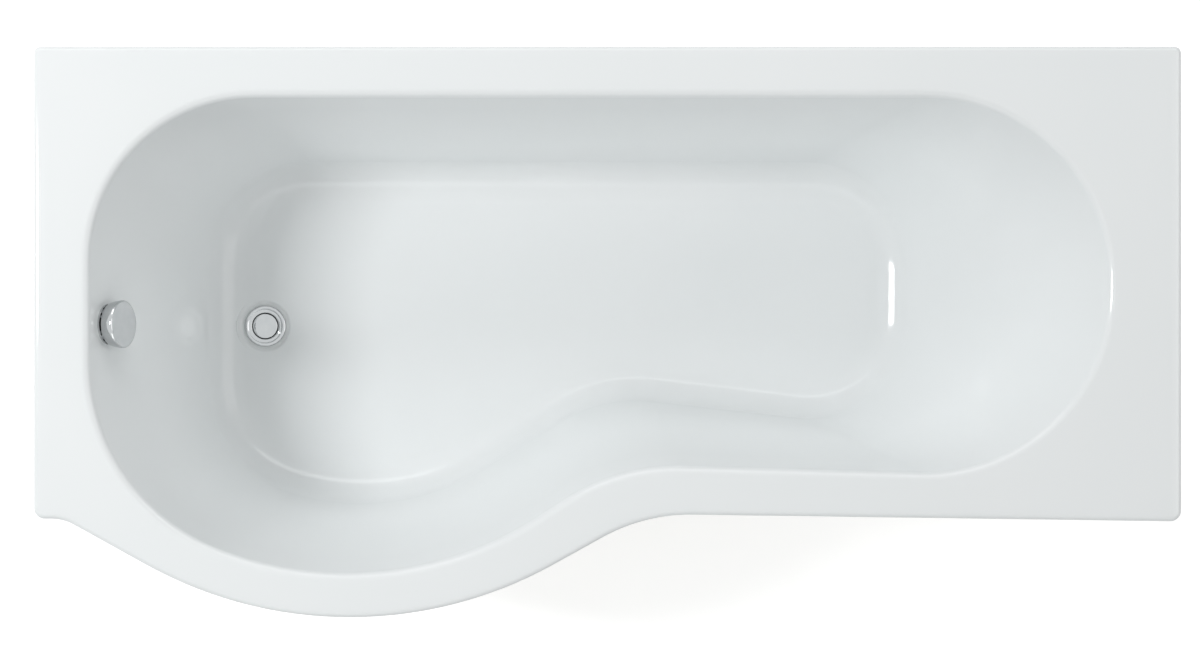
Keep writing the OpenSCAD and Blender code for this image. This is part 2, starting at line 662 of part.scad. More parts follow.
neck_out_r = neck_r + neck_wall;
pivot_y = lever_arm;
house_x = 9;
house_y1 = pivot_y + 18;
house_z1 = lever_z + 16;
cave_x = 5;
cave_z1 = house_z1 - 3;
cover_t = 3;
cover_z0 = chamber_z0 - 3.8 - cover_t;
gland_z = lever_z + 10.8;
house_gland_y = house_y1 + 6;
module waste_body() color("whitesmoke") at_waste() difference() {
    union() {
        rod(neck_r + 13, body_top - 4, body_top);
        rod(neck_out_r, chamber_z0 - 4, body_top);
        rod(tail_d / 2, tail_z0, chamber_z0);
        translate([0, 0, inlet_z]) rotate([0, -90, 0]) rod(spigot_r, chamber_r + 2, inlet_l);
        translate([-house_x, chamber_r + 1, cover_z0 + cover_t])
            cube([2 * house_x, house_y1 - chamber_r - 1, house_z1 - cover_z0 - cover_t]);
        translate([0, 0, gland_z]) rotate([-90, 0, 0]) rod(cable_d / 2 + 3, house_y1 - 1, house_gland_y);
    }
    rod(neck_r + fit_gap, body_top - socket_l, body_top + 1);
    rod(chamber_r, chamber_z0, body_top - socket_l + 1);
    rod(tail_d / 2 - 5.9, tail_z0 - 1, chamber_z0 + 1);
    translate([0, 0, inlet_z]) rotate([0, -90, 0]) rod(spigot_bore_r, chamber_r - 6, inlet_l + 1);
    translate([-cave_x, chamber_r - 4, chamber_z0 - 2.8]) cube([2 * cave_x, house_y1 - 4 - chamber_r + 4, cave_z1 - chamber_z0 + 2.8]);
    translate([-cave_x, neck_out_r + 1, cover_z0]) cube([2 * cave_x, house_y1 - 4 - neck_out_r - 1, cave_z1 - cover_z0]);
    translate([0, pivot_y, lever_z]) rotate([0, 90, 0]) rod(pin_r + 0.02, -house_x - 1, house_x + 1);
    translate([0, 0, gland_z]) rotate([-90, 0, 0]) rod(cable_d / 2 + 1, house_y1 - 5, house_gland_y + 1);
}
module lever_cover() color("whitesmoke") at_waste()
    translate([-house_x, neck_out_r + 0.5, cover_z0]) cube([2 * house_x, house_y1 - neck_out_r - 0.5, cover_t]);

pin_r = 2;
module lever_pin() color("silver") at_waste() translate([0, pivot_y, lever_z]) rotate([0, 90, 0])
    rod(pin_r, -house_x, house_x);

lever_w = 5;
lever_t = 6;
lever_up = gland_z - lever_z;
stem_z0 = lever_z + lever_w / 2 + free_gap;
module lift_lever() color("gold") at_waste() translate([-lever_t / 2, pivot_y, lever_z])
    rotate([90, 0, 90]) linear_extrude(lever_t) difference() {
        union() {
            circle(r = 4.5);
            translate([-lever_arm, -lever_w / 2]) square([lever_arm, lever_w]);
            translate([-lever_arm, 0]) circle(d = lever_w);
            translate([-lever_w / 2, 0]) square([lever_w, lever_up - 2]);
            translate([0, lever_up - 2]) circle(d = lever_w);
        }
        circle(r = pin_r + run_gap);
        translate([0, lever_up - 2]) circle(r = 0.9);
    }

plug_top = flange_z + 1.7;
plug_t = 3.4;
module waste_plug() color("silver") at_waste() rotate_extrude() polygon([
    [0, plug_top - plug_t], [plug_r - 1, plug_top - plug_t], [plug_r, plug_top - plug_t + 0.8],
    [plug_r, plug_top - 0.9], [plug_r - 0.3, plug_top - 0.35], [plug_r - 1, plug_top], [0, plug_top + 0.2]
]);
module plug_seal() color("dimgray") at_waste() rotate_extrude() polygon([
    [stem_r + 2, plug_top - plug_t - 2.2], [plug_r + 0.3, plug_top - plug_t - 2.2],
    [plug_r + 1, plug_top - plug_t - 1.2], [plug_r + 0.4, plug_top - plug_t], [stem_r + 2, plug_top - plug_t]
]);
module plug_stem() color("silver") at_waste() {
    rod(stem_r + 2, plug_top - plug_t - 3, plug_top - plug_t);
    rod(stem_r, stem_z0, plug_top - plug_t - 2.9);
}

// ---------- overflow ----------

gasket_t = 4;
gasket_z0 = backing_back - gasket_t;
body_flange_r = 37;
cup_r = 32;
cup_bore_r = 28;
body_flange_t = 4;
cup_z0 = gasket_z0 - cup_depth;
spigot_z = gasket_z0 - cup_depth / 2 - 1;
spigot_l = 60;
plate_t = 3;
screw5_r = 2.5;
screw5_y = 22;
boss_r = 7.5;
gland_l = 46;

module overflow_plate() color("silver") at_overflow() difference() {
    union() {
        rod(plate_d / 2, 0, plate_t);
        rod(spindle_d / 2 + 4, gasket_z0, knob_gap - free_gap);
    }
    rod(spindle_d / 2 + run_gap, gasket_z0 - 1, knob_gap);
    for (s = [-1, 1]) translate([0, s * screw5_y, 0]) rod(screw5_r + fit_gap, -1, plate_t + 1);
    for (a = [0, 38, 142, 180, 218, 322]) rotate(a) translate([19, 0, 0]) rod(4.5, -1, plate_t + 1);
}
module overflow_gasket() color("dimgray") at_overflow()
    ring(body_flange_r, overflow_hole_d / 2 + 1, gasket_z0, backing_back);
module overflow_body() color("whitesmoke") at_overflow() difference() {
    union() {
        difference() {
            union() {
                rotate_extrude() polygon([
                    [0, cup_z0], [cup_r - 1, cup_z0], [cup_r, cup_z0 + 1], [cup_r, gasket_z0 - body_flange_t],
                    [body_flange_r, gasket_z0 - body_flange_t], [body_flange_r, gasket_z0], [0, gasket_z0]
                ]);
                translate([0, 0, spigot_z]) rotate([0, 90, 0]) rod(spigot_r, cup_bore_r - 4, spigot_l);
                translate([0, 0, spigot_z]) rotate([-90, 0, 0]) rod(cable_d / 2 + 3, cup_bore_r + 2, gland_l);
            }
            rod(cup_bore_r, cup_z0 + body_flange_t, gasket_z0 + 1);
        }
        for (s = [-1, 1]) intersection() {
            translate([0, s * screw5_y, 0]) rod(boss_r, gasket_z0 - 12, gasket_z0);
            rod(cup_bore_r + 1, gasket_z0 - 12, gasket_z0);
        }
    }
    for (s = [-1, 1]) translate([0, s * screw5_y, 0]) rod(screw5_r + run_gap, gasket_z0 - 14, gasket_z0 + 1);
    translate([0, 0, spigot_z]) rotate([0, 90, 0]) rod(spigot_bore_r, cup_bore_r - 6, spigot_l + 1);
    translate([0, 0, spigot_z]) rotate([-90, 0, 0]) {
        rod(1.5, cup_bore_r - 2, gland_l);
        rod(cable_d / 2 + 1, gland_l - ferrule_in - 1, gland_l + 1);
    }
}
module overflow_screws() color("silver") at_overflow() for (s = [-1, 1]) translate([0, s * screw5_y, 0]) {
    rod(screw5_r, gasket_z0 - 11, plate_t);
    translate([0, 0, plate_t]) difference() {
        cylinder(h = 2.5, r1 = 4.5, r2 = 3.6);
        translate([-5, -0.6, 1.5]) cube([10, 1.2, 2]);
    }
}

knob_r = knob_d / 2;
knob_wall = 2.5;
knob_edge_r = 3;
knob_z1 = knob_gap + knob_t;
knob_rear_r = knob_r - 2;
module overflow_knob() color("silver") at_overflow() {
    rotate_extrude() polygon(concat(
        [[0, knob_z1 - knob_wall], [knob_r - knob_wall - 2, knob_z1 - knob_wall],
         [knob_r - knob_wall, knob_z1 - knob_wall - 2], [knob_rear_r - knob_wall, knob_gap], [knob_rear_r, knob_gap]],
        [for (t = [0.2:0.2:1]) [knob_rear_r + 2 * sin(90 * t), knob_gap + (knob_t - knob_edge_r) * t]],
        [for (a = [15:15:90]) [knob_r - knob_edge_r * (1 - cos(a)), knob_z1 - knob_edge_r * (1 - sin(a))]],
        [[0, knob_z1]]));
    ring(spindle_d / 2 + 4, spindle_d / 2, knob_gap, knob_z1 - knob_wall);
}
drum_r = 13;
drum_t = 8;
drum_z0 = spigot_z - drum_t / 2;
module knob_spindle() color("whitesmoke") at_overflow() rod(spindle_d / 2, drum_z0, knob_z1 - knob_wall);
module cable_drum() color("gold") at_overflow() difference() {
    rotate_extrude() polygon([
        [spindle_d / 2, drum_z0], [drum_r, drum_z0], [drum_r, drum_z0 + 2], [drum_r - 2.5, drum_z0 + 3],
        [drum_r - 2.5, drum_z0 + drum_t - 3], [drum_r, drum_z0 + drum_t - 2], [drum_r, drum_z0 + drum_t],
        [spindle_d / 2, drum_z0 + drum_t]
    ]);
    translate([0, drum_r - 3.5, 0]) rod(0.9, drum_z0 - 1, drum_z0 + drum_t + 1);
}

// ---------- hose and cable between overflow and waste ----------

hose_seal_t = 2;
hose_bend_r = 70;
hose_ease_r = 100;
hose_start = from_overflow([spigot_l + hose_seal_t, 0, spigot_z]);
hose_end = [waste_x - inlet_l - hose_seal_t, waste_y, seat_z + inlet_z];
// The hose leaves along the wall, hangs straight down and turns into the waste
hose_down = from_overflow([spigot_l + hose_seal_t + 1.5 * hose_d, 0, spigot_z]);
hose_route = [hose_start, hose_down, [hose_down.x, waste_y, hose_end.z], hose_end];
hose_radii = [0, hose_ease_r, hose_bend_r, 0];

// A route's points with its corners rounded, k points a corner
function rounded_route(p, r, k) = [for (i = [0:len(p) - 1])
    each i == 0 || i == len(p) - 1 ? [p[i]] : fillet(p[i - 1], p[i], p[i + 1], r[i], k)];
// Points every "step" along a route, ends included
function lengths(p, i = 0, sum = 0) = i == len(p) - 1 ? [sum]
    : concat([sum], lengths(p, i + 1, sum + norm(p[i + 1] - p[i])));
function point_at(p, len_at, s, i = 0) = i == len(p) - 2 || s <= len_at[i + 1]
    ? p[i] + (p[i + 1] - p[i]) * (s - len_at[i]) / (len_at[i + 1] - len_at[i])
    : point_at(p, len_at, s, i + 1);
function tangent_of(p, i) = unit(p[min(i + 1, len(p) - 1)] - p[max(i - 1, 0)]);
// Side directions carried along a route without twist
function carried(p, i = 0, side = [1, 0, 0]) =
    let (t = tangent_of(p, i), s = unit(side - t * (side * t)))
    i == len(p) - 1 ? [s] : concat([s], carried(p, i + 1, s));

// A tube along points, with a radius for each; sides faces round it
module tube(p, radii, sides) {
    n = len(p);
    side = carried(p);
    points = [for (i = [0:n - 1]) for (k = [0:sides - 1])
        let (t = tangent_of(p, i), up = cross(t, side[i]), a = 360 * k / sides)
        p[i] + radii[i] * (side[i] * cos(a) + up * sin(a))];
    at = function(i, k) i * sides + k % sides;
    polyhedron(concat(points, [p[0], p[n - 1]]), concat(
        [for (i = [0:n - 2]) for (k = [0:sides - 1])
            each [[at(i, k), at(i + 1, k + 1), at(i, k + 1)], [at(i, k), at(i + 1, k), at(i + 1, k + 1)]]],
        [for (k = [0:sides - 1]) [at(0, k), at(0, k + 1), n * sides]],
        [for (k = [0:sides - 1]) [at(n - 1, k + 1), at(n - 1, k), n * sides + 1]]));
}

hose_sides = 8;
hose_wall = 1.2;
rib_h = 2.2;
hose_path = rounded_route(hose_route, hose_radii, 9);
hose_len_at = lengths(hose_path);
hose_len = hose_len_at[len(hose_path) - 1];
rib_n = floor(hose_len / rib_pitch);
function hose_points(n, from, to) = [for (i = [0:n])
    point_at(hose_path, hose_len_at, from + (to - from) * i / n)];
module overflow_hose() color("whitesmoke") difference() {
    // two rings a rib: one in the valley, one on the crest
    tube(hose_points(2 * rib_n, 0, hose_len),
        [for (i = [0:2 * rib_n]) hose_d / 2 - (i % 2 == 0 ? rib_h : 0)], hose_sides);
    tube(hose_points(30, -1, hose_len + 1), [for (i = [0:30]) hose_d / 2 - rib_h - hose_wall], hose_sides);
}

nut_out_r = hose_d / 2 + 6;
nut_l = 20;
module hose_seal() ring(spigot_r, spigot_bore_r, 0, hose_seal_t);
module hose_nut() difference() {
    rod(nut_out_r, -nut_l / 2, nut_l / 2);
    rod(hose_d / 2 + free_gap, -nut_l / 2 - 1, nut_l / 2 + 1);
    for (a = [0:30:330]) rotate(a) translate([nut_out_r + 1.5, 0, 0]) rod(3, -nut_l / 2 - 1, nut_l / 2 + 1);
}
module at_hose_top() at_overflow() translate([spigot_l, 0, spigot_z]) rotate([0, 90, 0]) children();
module at_hose_bottom() at_waste() translate([-inlet_l, 0, inlet_z]) rotate([0, -90, 0]) children();
module hose_seal_top() color("dimgray") at_hose_top() hose_seal();
module hose_seal_bottom() color("dimgray") at_hose_bottom() hose_seal();
module hose_nut_top() color("whitesmoke") at_hose_top() hose_nut();
module hose_nut_bottom() color("whitesmoke") at_hose_bottom() hose_nut();

ferrule_l = 16;
ferrule_in = 8;                 // length inside its gland
ferrule_collar = 1.5;
cable_out = ferrule_collar + free_gap;      // from a gland's end to the cable's
cable_top = from_overflow([0, gland_l + cable_out, spigot_z]);
cable_bottom = [waste_x, waste_y + house_gland_y + cable_out, seat_z + gland_z];
cable_bend_r = 45;
cable_lead_top = 55;            // straight out of the overflow
cable_lead_bottom = 80;         // straight into the waste
cable_route = [
    cable_top, cable_top + [0, cable_lead_top, 0], [-770, 125, 380], [-755, 130, 105], [-650, 150, 100],
    cable_bottom + [0, cable_lead_bottom, 0], cable_bottom
];
cable_path = rounded_route(cable_route, [for (p = cable_route) cable_bend_r], 6);
cable_len_at = lengths(cable_path);
cable_len = cable_len_at[len(cable_path) - 1];
cable_rings = 52;
module bowden_cable() color("black") tube(
    [for (i = [0:cable_rings]) point_at(cable_path, cable_len_at, cable_len * i / cable_rings)],
    [for (i = [0:cable_rings]) cable_d / 2], 8);
module cable_ferrule() {
    rod(cable_d / 2 + 1 - fit_gap, 0, ferrule_in);
    rod(cable_d / 2 + 2, ferrule_in, ferrule_in + ferrule_collar);
    ring(cable_d / 2 + 1, cable_d / 2 + 0.05, ferrule_in + 1, ferrule_l);
}
module cable_ferrule_top() color("silver") at_overflow() translate([0, gland_l - ferrule_in, spigot_z])
    rotate([-90, 0, 0]) cable_ferrule();
module cable_ferrule_bottom() color("silver") at_waste() translate([0, house_gland_y - ferrule_in, gland_z])
    rotate([-90, 0, 0]) cable_ferrule();

echo(str("hose length ", hose_len, ", cable length ", cable_len));

bath_shell();
grp_backing();
base_board();
rim_batten_rear();
rim_batten_front();
rim_batten_waste_end();
rim_batten_back_end();
leg_channel_waste_end();
leg_channel_back_end();
centre_foot_bracket();
channel_screws();
stud_nuts();
foot_stud(0);  // foot_stud_1
foot_stud(1);  // foot_stud_2
foot_stud(2);  // foot_stud_3
foot_stud(3);  // foot_stud_4
foot_stud(4);  // foot_stud_5
foot_pad(0);  // foot_pad_1
foot_pad(1);  // foot_pad_2
foot_pad(2);  // foot_pad_3
foot_pad(3);  // foot_pad_4
foot_pad(4);  // foot_pad_5
wall_bracket(-1);  // wall_bracket_1
wall_bracket(1);  // wall_bracket_2
bracket_screws();
waste_flange();
flange_seal();
waste_washer();
waste_body();
lever_cover();
lever_pin();
lift_lever();
waste_plug();
plug_seal();
plug_stem();
overflow_plate();
overflow_gasket();
overflow_body();
overflow_screws();
overflow_knob();
knob_spindle();
cable_drum();
overflow_hose();
hose_seal_top();
hose_seal_bottom();
hose_nut_top();
hose_nut_bottom();
bowden_cable();
cable_ferrule_top();
cable_ferrule_bottom();
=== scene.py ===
# %% [markdown]
# # Dressing a P shaped shower bath
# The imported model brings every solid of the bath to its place, in metres, with the floor
# at z = 0 and the wall at +Y. This lesson gives it its looks: the pieces that a camera
# sees closely are modelled again with finer curves, and every surface gets a finish.

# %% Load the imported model
import math
import bmesh
import bpy
from mathutils import Matrix, Vector, noise


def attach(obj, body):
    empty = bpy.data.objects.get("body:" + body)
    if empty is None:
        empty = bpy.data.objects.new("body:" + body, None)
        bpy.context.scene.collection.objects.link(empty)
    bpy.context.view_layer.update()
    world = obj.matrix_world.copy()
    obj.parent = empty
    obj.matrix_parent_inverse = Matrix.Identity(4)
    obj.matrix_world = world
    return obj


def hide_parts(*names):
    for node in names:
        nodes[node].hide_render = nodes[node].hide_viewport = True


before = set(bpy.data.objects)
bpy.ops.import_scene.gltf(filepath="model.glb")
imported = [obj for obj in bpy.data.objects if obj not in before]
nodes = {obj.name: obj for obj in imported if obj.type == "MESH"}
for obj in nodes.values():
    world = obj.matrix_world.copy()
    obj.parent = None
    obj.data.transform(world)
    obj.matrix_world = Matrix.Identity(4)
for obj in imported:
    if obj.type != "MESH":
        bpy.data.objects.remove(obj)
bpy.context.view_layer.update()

MM = 0.001

# %% [markdown]
# ## Camera
# The photograph looks straight down into the bath. The rim fills most of its width, so the
# camera's height and lens follow from the scale at the rim and from how much smaller the
# floor of the well looks. The picture was cropped a little off its middle. The lens's shift
# repeats that, because a tilted camera would make the rim's parallel edges converge.

# %% Camera straight above the bath
PHOTO_WIDTH = 1200
RIM_PIXEL = 1.4828 * MM        # size of a pixel at the height of the rim
ABOVE_RIM = 2.585              # the camera's height above it
CAMERA_PLACE = (-0.0112, -0.0118, 0.542 + ABOVE_RIM)
OFF_MIDDLE = 14.5              # pixels from the picture's middle to the camera's axis

lens = bpy.data.cameras.new("camera")
lens.lens = lens.sensor_width * ABOVE_RIM / (RIM_PIXEL * PHOTO_WIDTH)
lens.shift_y = OFF_MIDDLE / PHOTO_WIDTH
camera = bpy.data.objects.new("camera", lens)
camera.location = CAMERA_PLACE
bpy.context.scene.collection.objects.link(camera)
bpy.context.scene.camera = camera
print("lens", round(lens.lens, 1), "mm at", CAMERA_PLACE)

# %% [markdown]
# ## Studio
# White acrylic shows its shape only by soft differences of light. A small strong softbox at
# the waste end draws the bright line at the foot of the backrest, and leaves the end wall
# darker than the rest, as in the photograph. Two long strips along the sides and a wide
# softbox behind the backrest soften its shadows, and the sky fills the rest evenly. The
# floor is a pale sheet that reads as white to the camera and still takes the bath's shadow.

# %% Softboxes
MIDDLE_OF_BATH = Vector((0, 0, 0.35))


def softbox(name, place, size, power, colour):
    """An area lamp at a place, turned towards the middle of the bath."""
    lamp = bpy.data.lights.new(name, "AREA")
    lamp.shape = "RECTANGLE"
    lamp.size, lamp.size_y = size
    lamp.energy = power
    lamp.color = colour
    stand = bpy.data.objects.new(name, lamp)
    stand.location = place
    way = MIDDLE_OF_BATH - stand.location
    stand.rotation_euler = way.to_track_quat("-Z", "Y").to_euler()
    bpy.context.scene.collection.objects.link(stand)


WHITE, WARM_WHITE = (1, 1, 1), (1, 0.965, 0.95)
SOFTBOXES = {                  # place, size in metres, watts and colour
    "key softbox": ((-3.0, 0.35, 3.8), (0.6, 1.2), 88, WHITE),
    "rear strip": ((0, 3.0, 2.4), (4.0, 1.6), 37, WHITE),
    "front strip": ((0, -3.0, 2.6), (4.0, 1.6), 19, WHITE),
    "right softbox": ((3.4, 0, 3.2), (3.0, 3.0), 28, WARM_WHITE),
}
for name, (place, size, power, colour) in SOFTBOXES.items():
    softbox(name, place, size, power, colour)
print(len(SOFTBOXES), "softboxes")

# %% Sky and floor
def largest(tree, values):
    """The largest of some values."""
    best = values[0]
    for value in values[1:]:
        node = tree.nodes.new("ShaderNodeMath")
        node.operation = "MAXIMUM"
        tree.links.new(best, node.inputs[0])
        tree.links.new(value, node.inputs[1])
        best = node.outputs[0]
    return best


def background_share(tree):
    """1 for the rays that see the background: the camera's, mirrors' and glass's."""
    path = tree.nodes.new("ShaderNodeLightPath")
    rays = ("Is Camera Ray", "Is Glossy Ray", "Is Transmission Ray")
    return largest(tree, [path.outputs[ray] for ray in rays])


def mapped(tree, value, low, high):
    """A value from 0 to 1 stretched over a range."""
    node = tree.nodes.new("ShaderNodeMapRange")
    node.inputs["To Min"].default_value = low
    node.inputs["To Max"].default_value = high
    tree.links.new(value, node.inputs["Value"])
    return node.outputs["Result"]


SKY_LEVEL = 0.32               # what lights the bath, while the background is 1
SKY_COLOUR = (0.97, 0.995, 1, 1)
sky = bpy.data.worlds.new("sky")
sky.use_nodes = True
bpy.context.scene.world = sky
dome = sky.node_tree.nodes["Background"]
level = mapped(sky.node_tree, background_share(sky.node_tree), SKY_LEVEL, 1)
sky.node_tree.links.new(level, dome.inputs["Strength"])
dome.inputs["Color"].default_value = SKY_COLOUR

FLOOR_SIZE = 14
FLOOR_LIFT = 0.58              # makes the floor white, where the bath takes no light from it
sheet = bmesh.new()
bmesh.ops.create_grid(sheet, x_segments=2, y_segments=2, size=FLOOR_SIZE / 2)
floor_mesh = bpy.data.meshes.new("floor")
sheet.to_mesh(floor_mesh)
sheet.free()
floor = bpy.data.objects.new("floor", floor_mesh)
bpy.context.scene.collection.objects.link(floor)
pale = bpy.data.materials.new("pale floor")
pale.use_nodes = True
paint = pale.node_tree.nodes["Principled BSDF"]
paint.inputs["Base Color"].default_value = (0.8, 0.8, 0.8, 1)
paint.inputs["Roughness"].default_value = 0.9
paint.inputs["Emission Color"].default_value = (1, 1, 1, 1)
lift = mapped(pale.node_tree, background_share(pale.node_tree), 0, FLOOR_LIFT)
pale.node_tree.links.new(lift, paint.inputs["Emission Strength"])
floor_mesh.materials.append(pale)

bpy.context.scene.view_settings.view_transform = "Standard"
print("sky at", SKY_LEVEL, "and a floor of", FLOOR_SIZE, "m")

# %% [markdown]
# ## Finishes
# Even a clean new bath isn't one flat colour. Acrylic has a faint orange peel, zinc has its
# spangle, plastic its moulding grain. One node group carries what they share: soft patches
# and a fine grain. A painted image could do it too, but noise in object coordinates needs no
# unwrapping, never repeats and doesn't stretch. Each finish mixes two close tones by the
# patches, spreads its roughness a little and raises the grain as a bump.

# %% Shared grain
def make_grain_group():
    """Patches and fine grain as values from 0 to 1."""
    group = bpy.data.node_groups.new("patches and grain", "ShaderNodeTree")
    for label in ("Patches per metre", "Grains per metre"):
        group.interface.new_socket(label, in_out="INPUT", socket_type="NodeSocketFloat")
    for label in ("Patches", "Grain"):
        group.interface.new_socket(label, in_out="OUTPUT", socket_type="NodeSocketFloat")
    enter = group.nodes.new("NodeGroupInput")
    leave = group.nodes.new("NodeGroupOutput")
    place = group.nodes.new("ShaderNodeTexCoord")
    for scale, out, detail in (("Patches per metre", "Patches", 3),
                               ("Grains per metre", "Grain", 2)):
        cloud = group.nodes.new("ShaderNodeTexNoise")
        cloud.inputs["Detail"].default_value = detail
        group.links.new(place.outputs["Object"], cloud.inputs["Vector"])
        group.links.new(enter.outputs[scale], cloud.inputs["Scale"])
        even = group.nodes.new("ShaderNodeMapRange")    # the noise seldom leaves 0.3 to 0.7
        even.inputs["From Min"].default_value = 0.3
        even.inputs["From Max"].default_value = 0.7
        group.links.new(cloud.outputs["Fac"], even.inputs["Value"])
        group.links.new(even.outputs["Result"], leave.inputs[out])
    return group


grain_group = make_grain_group()
print("grain group with", len(grain_group.nodes), "nodes")

# %% A finish from two tones
def blend_of(tree, share, first, second):
    """Two colours mixed by a value."""
    mix = tree.nodes.new("ShaderNodeMix")
    mix.data_type = "RGBA"                 # its colours are sockets 6 and 7, and output 2
    for socket, colour in ((mix.inputs[6], first), (mix.inputs[7], second)):
        if isinstance(colour, bpy.types.NodeSocket):
            tree.links.new(colour, socket)
        else:
            socket.default_value = (*colour, 1)
    tree.links.new(share, mix.inputs[0])
    return mix.outputs[2]


def raised(tree, shader, height, depth):
    """Raises a height pattern from the surface, to a depth in metres."""
    bump = tree.nodes.new("ShaderNodeBump")
    bump.inputs["Distance"].default_value = depth
    tree.links.new(height, bump.inputs["Height"])
    tree.links.new(bump.outputs["Normal"], shader.inputs["Normal"])


def blank(name, **sockets):
    """A new material, its node tree and its shader."""
    material = bpy.data.materials.new(name)
    material.use_nodes = True
    shader = material.node_tree.nodes["Principled BSDF"]
    for label, value in sockets.items():
        shader.inputs[label.replace("_", " ")].default_value = value
    return material, material.node_tree, shader


def grain_of(tree, patches, grains):
    """The shared patches and grain at a material's own scale."""
    grain = tree.nodes.new("ShaderNodeGroup")
    grain.node_tree = grain_group
    grain.inputs["Patches per metre"].default_value = patches
    grain.inputs["Grains per metre"].default_value = grains
    return grain


def finish(name, tones, rough, patches=30, grains=900, depth=0.00002, **sockets):
    """A material with two close tones, a spread of roughness and a fine raised grain."""
    material, tree, shader = blank(name, **sockets)
    grain = grain_of(tree, patches, grains)
    tree.links.new(blend_of(tree, grain.outputs["Patches"], *tones), shader.inputs["Base Color"])
    tree.links.new(mapped(tree, grain.outputs["Patches"], *rough), shader.inputs["Roughness"])
    raised(tree, shader, grain.outputs["Grain"], depth)
    return material


acrylic = finish("white acrylic", ((0.845, 0.87, 0.874), (0.86, 0.88, 0.884)), (0.07, 0.12),
                 patches=3, grains=160, depth=0.000004, IOR=1.49)
chrome = finish("chrome plate", ((0.55, 0.56, 0.57), (0.585, 0.595, 0.60)), (0.03, 0.07),
                patches=60, grains=700, depth=0.0000015, Metallic=1.0)
rubber = finish("black rubber", ((0.02, 0.02, 0.021), (0.035, 0.035, 0.036)), (0.6, 0.85),
                patches=40, grains=1600, depth=0.00004)
white_plastic = finish("white plastic", ((0.72, 0.72, 0.7), (0.78, 0.78, 0.765)), (0.3, 0.45),
                       patches=25, grains=1300, depth=0.00002)
black_plastic = finish("black plastic", ((0.018, 0.018, 0.02), (0.03, 0.03, 0.032)), (0.38, 0.55),
                       patches=40, grains=1500, depth=0.00005)
brass = finish("yellow brass", ((0.70, 0.49, 0.22), (0.83, 0.62, 0.31)), (0.22, 0.38),
               patches=50, grains=900, depth=0.000008, Metallic=1.0)
hose_plastic = finish("hose plastic", ((0.60, 0.61, 0.61), (0.68, 0.69, 0.69)), (0.32, 0.42),
                      patches=18, grains=1100, depth=0.000012)
cable_jacket = finish("cable jacket", ((0.012, 0.012, 0.013), (0.022, 0.022, 0.023)), (0.35, 0.5),
                      patches=60, grains=1400, depth=0.00002)
print("plain finishes:", [m.name for m in bpy.data.materials])

# %% [markdown]
# Zinc plated steel shows flat crystals, the spangle. Noise would blur the straight borders
# between them, so a Voronoi texture gives each crystal its own value, and that value changes
# tone and roughness a little from one to the next.

# %% Zinc plated steel
CRYSTALS_PER_METRE = 190


def cells(tree, per_metre):
    """Random cells: two values that change from one to the next, and the way to the middle."""
    place = tree.nodes.new("ShaderNodeTexCoord")
    cell = tree.nodes.new("ShaderNodeTexVoronoi")
    cell.inputs["Scale"].default_value = per_metre
    tree.links.new(place.outputs["Object"], cell.inputs["Vector"])
    one = tree.nodes.new("ShaderNodeSeparateColor")
    tree.links.new(cell.outputs["Color"], one.inputs["Color"])
    return one.outputs["Red"], one.outputs["Green"], cell.outputs["Distance"]


def zinc_finish():
    """Zinc coated steel with its spangle."""
    material, tree, shader = blank("spangled zinc", Metallic=1.0)
    first, second, _ = cells(tree, CRYSTALS_PER_METRE)
    tone = blend_of(tree, first, (0.5, 0.515, 0.53), (0.66, 0.68, 0.69))
    tree.links.new(tone, shader.inputs["Base Color"])
    tree.links.new(mapped(tree, second, 0.26, 0.44), shader.inputs["Roughness"])
    raised(tree, shader, grain_of(tree, 25, 1200).outputs["Grain"], 0.000006)
    return material


zinc = zinc_finish()
print("zinc with", len(zinc.node_tree.nodes), "nodes")

# %% [markdown]
# The backing is chopped glass strand laid into polyester resin and rolled out by hand, so
# its threads lie in all directions. A soft noise crosses its middle value along thin sheets
# in space, and where a sheet meets the surface it draws a thread, on any wall alike. Five
# noises, each moved and scaled in its own way, lay five layers of threads over each other.

# %% Glass fibre
# The shift of each layer, and its scale per metre
THREAD_LAYERS = ((0, 42), (0.7, 55), (1.9, 70), (3.1, 48), (4.3, 62))
THREAD_WIDTH = 0.016           # how far from its middle value the noise still counts


def threads(tree, shift, per_metre):
    """One layer of thin threads, as a value from 0 to 1."""
    place = tree.nodes.new("ShaderNodeTexCoord")
    lay = tree.nodes.new("ShaderNodeMapping")
    lay.inputs["Location"].default_value = (shift, -shift, shift)
    lay.inputs["Rotation"].default_value = (shift, 2 * shift, 0)
    tree.links.new(place.outputs["Object"], lay.inputs["Vector"])
    cloud = tree.nodes.new("ShaderNodeTexNoise")
    cloud.inputs["Scale"].default_value = per_metre
    cloud.inputs["Detail"].default_value = 1
    tree.links.new(lay.outputs["Vector"], cloud.inputs["Vector"])
    near = tree.nodes.new("ShaderNodeMath")
    near.operation = "COMPARE"
    near.inputs[1].default_value = 0.5
    near.inputs[2].default_value = THREAD_WIDTH
    tree.links.new(cloud.outputs["Fac"], near.inputs[0])
    return near.outputs[0]


def glass_fibre_finish():
    """Threads in resin, which is glossier in some patches than in others."""
    material, tree, shader = blank("strand and resin")
    patches = grain_of(tree, 14, 300).outputs["Patches"]
    tree.links.new(mapped(tree, patches, 0.3, 0.5), shader.inputs["Roughness"])
    cover = largest(tree, [threads(tree, *layer) for layer in THREAD_LAYERS])
    resin = blend_of(tree, patches, (0.50, 0.50, 0.40), (0.60, 0.59, 0.48))
    tree.links.new(blend_of(tree, cover, resin, (0.72, 0.72, 0.65)), shader.inputs["Base Color"])
    raised(tree, shader, cover, 0.0002)
    return material


glass_fibre = glass_fibre_finish()
print("glass fibre with", len(glass_fibre.node_tree.nodes), "nodes")

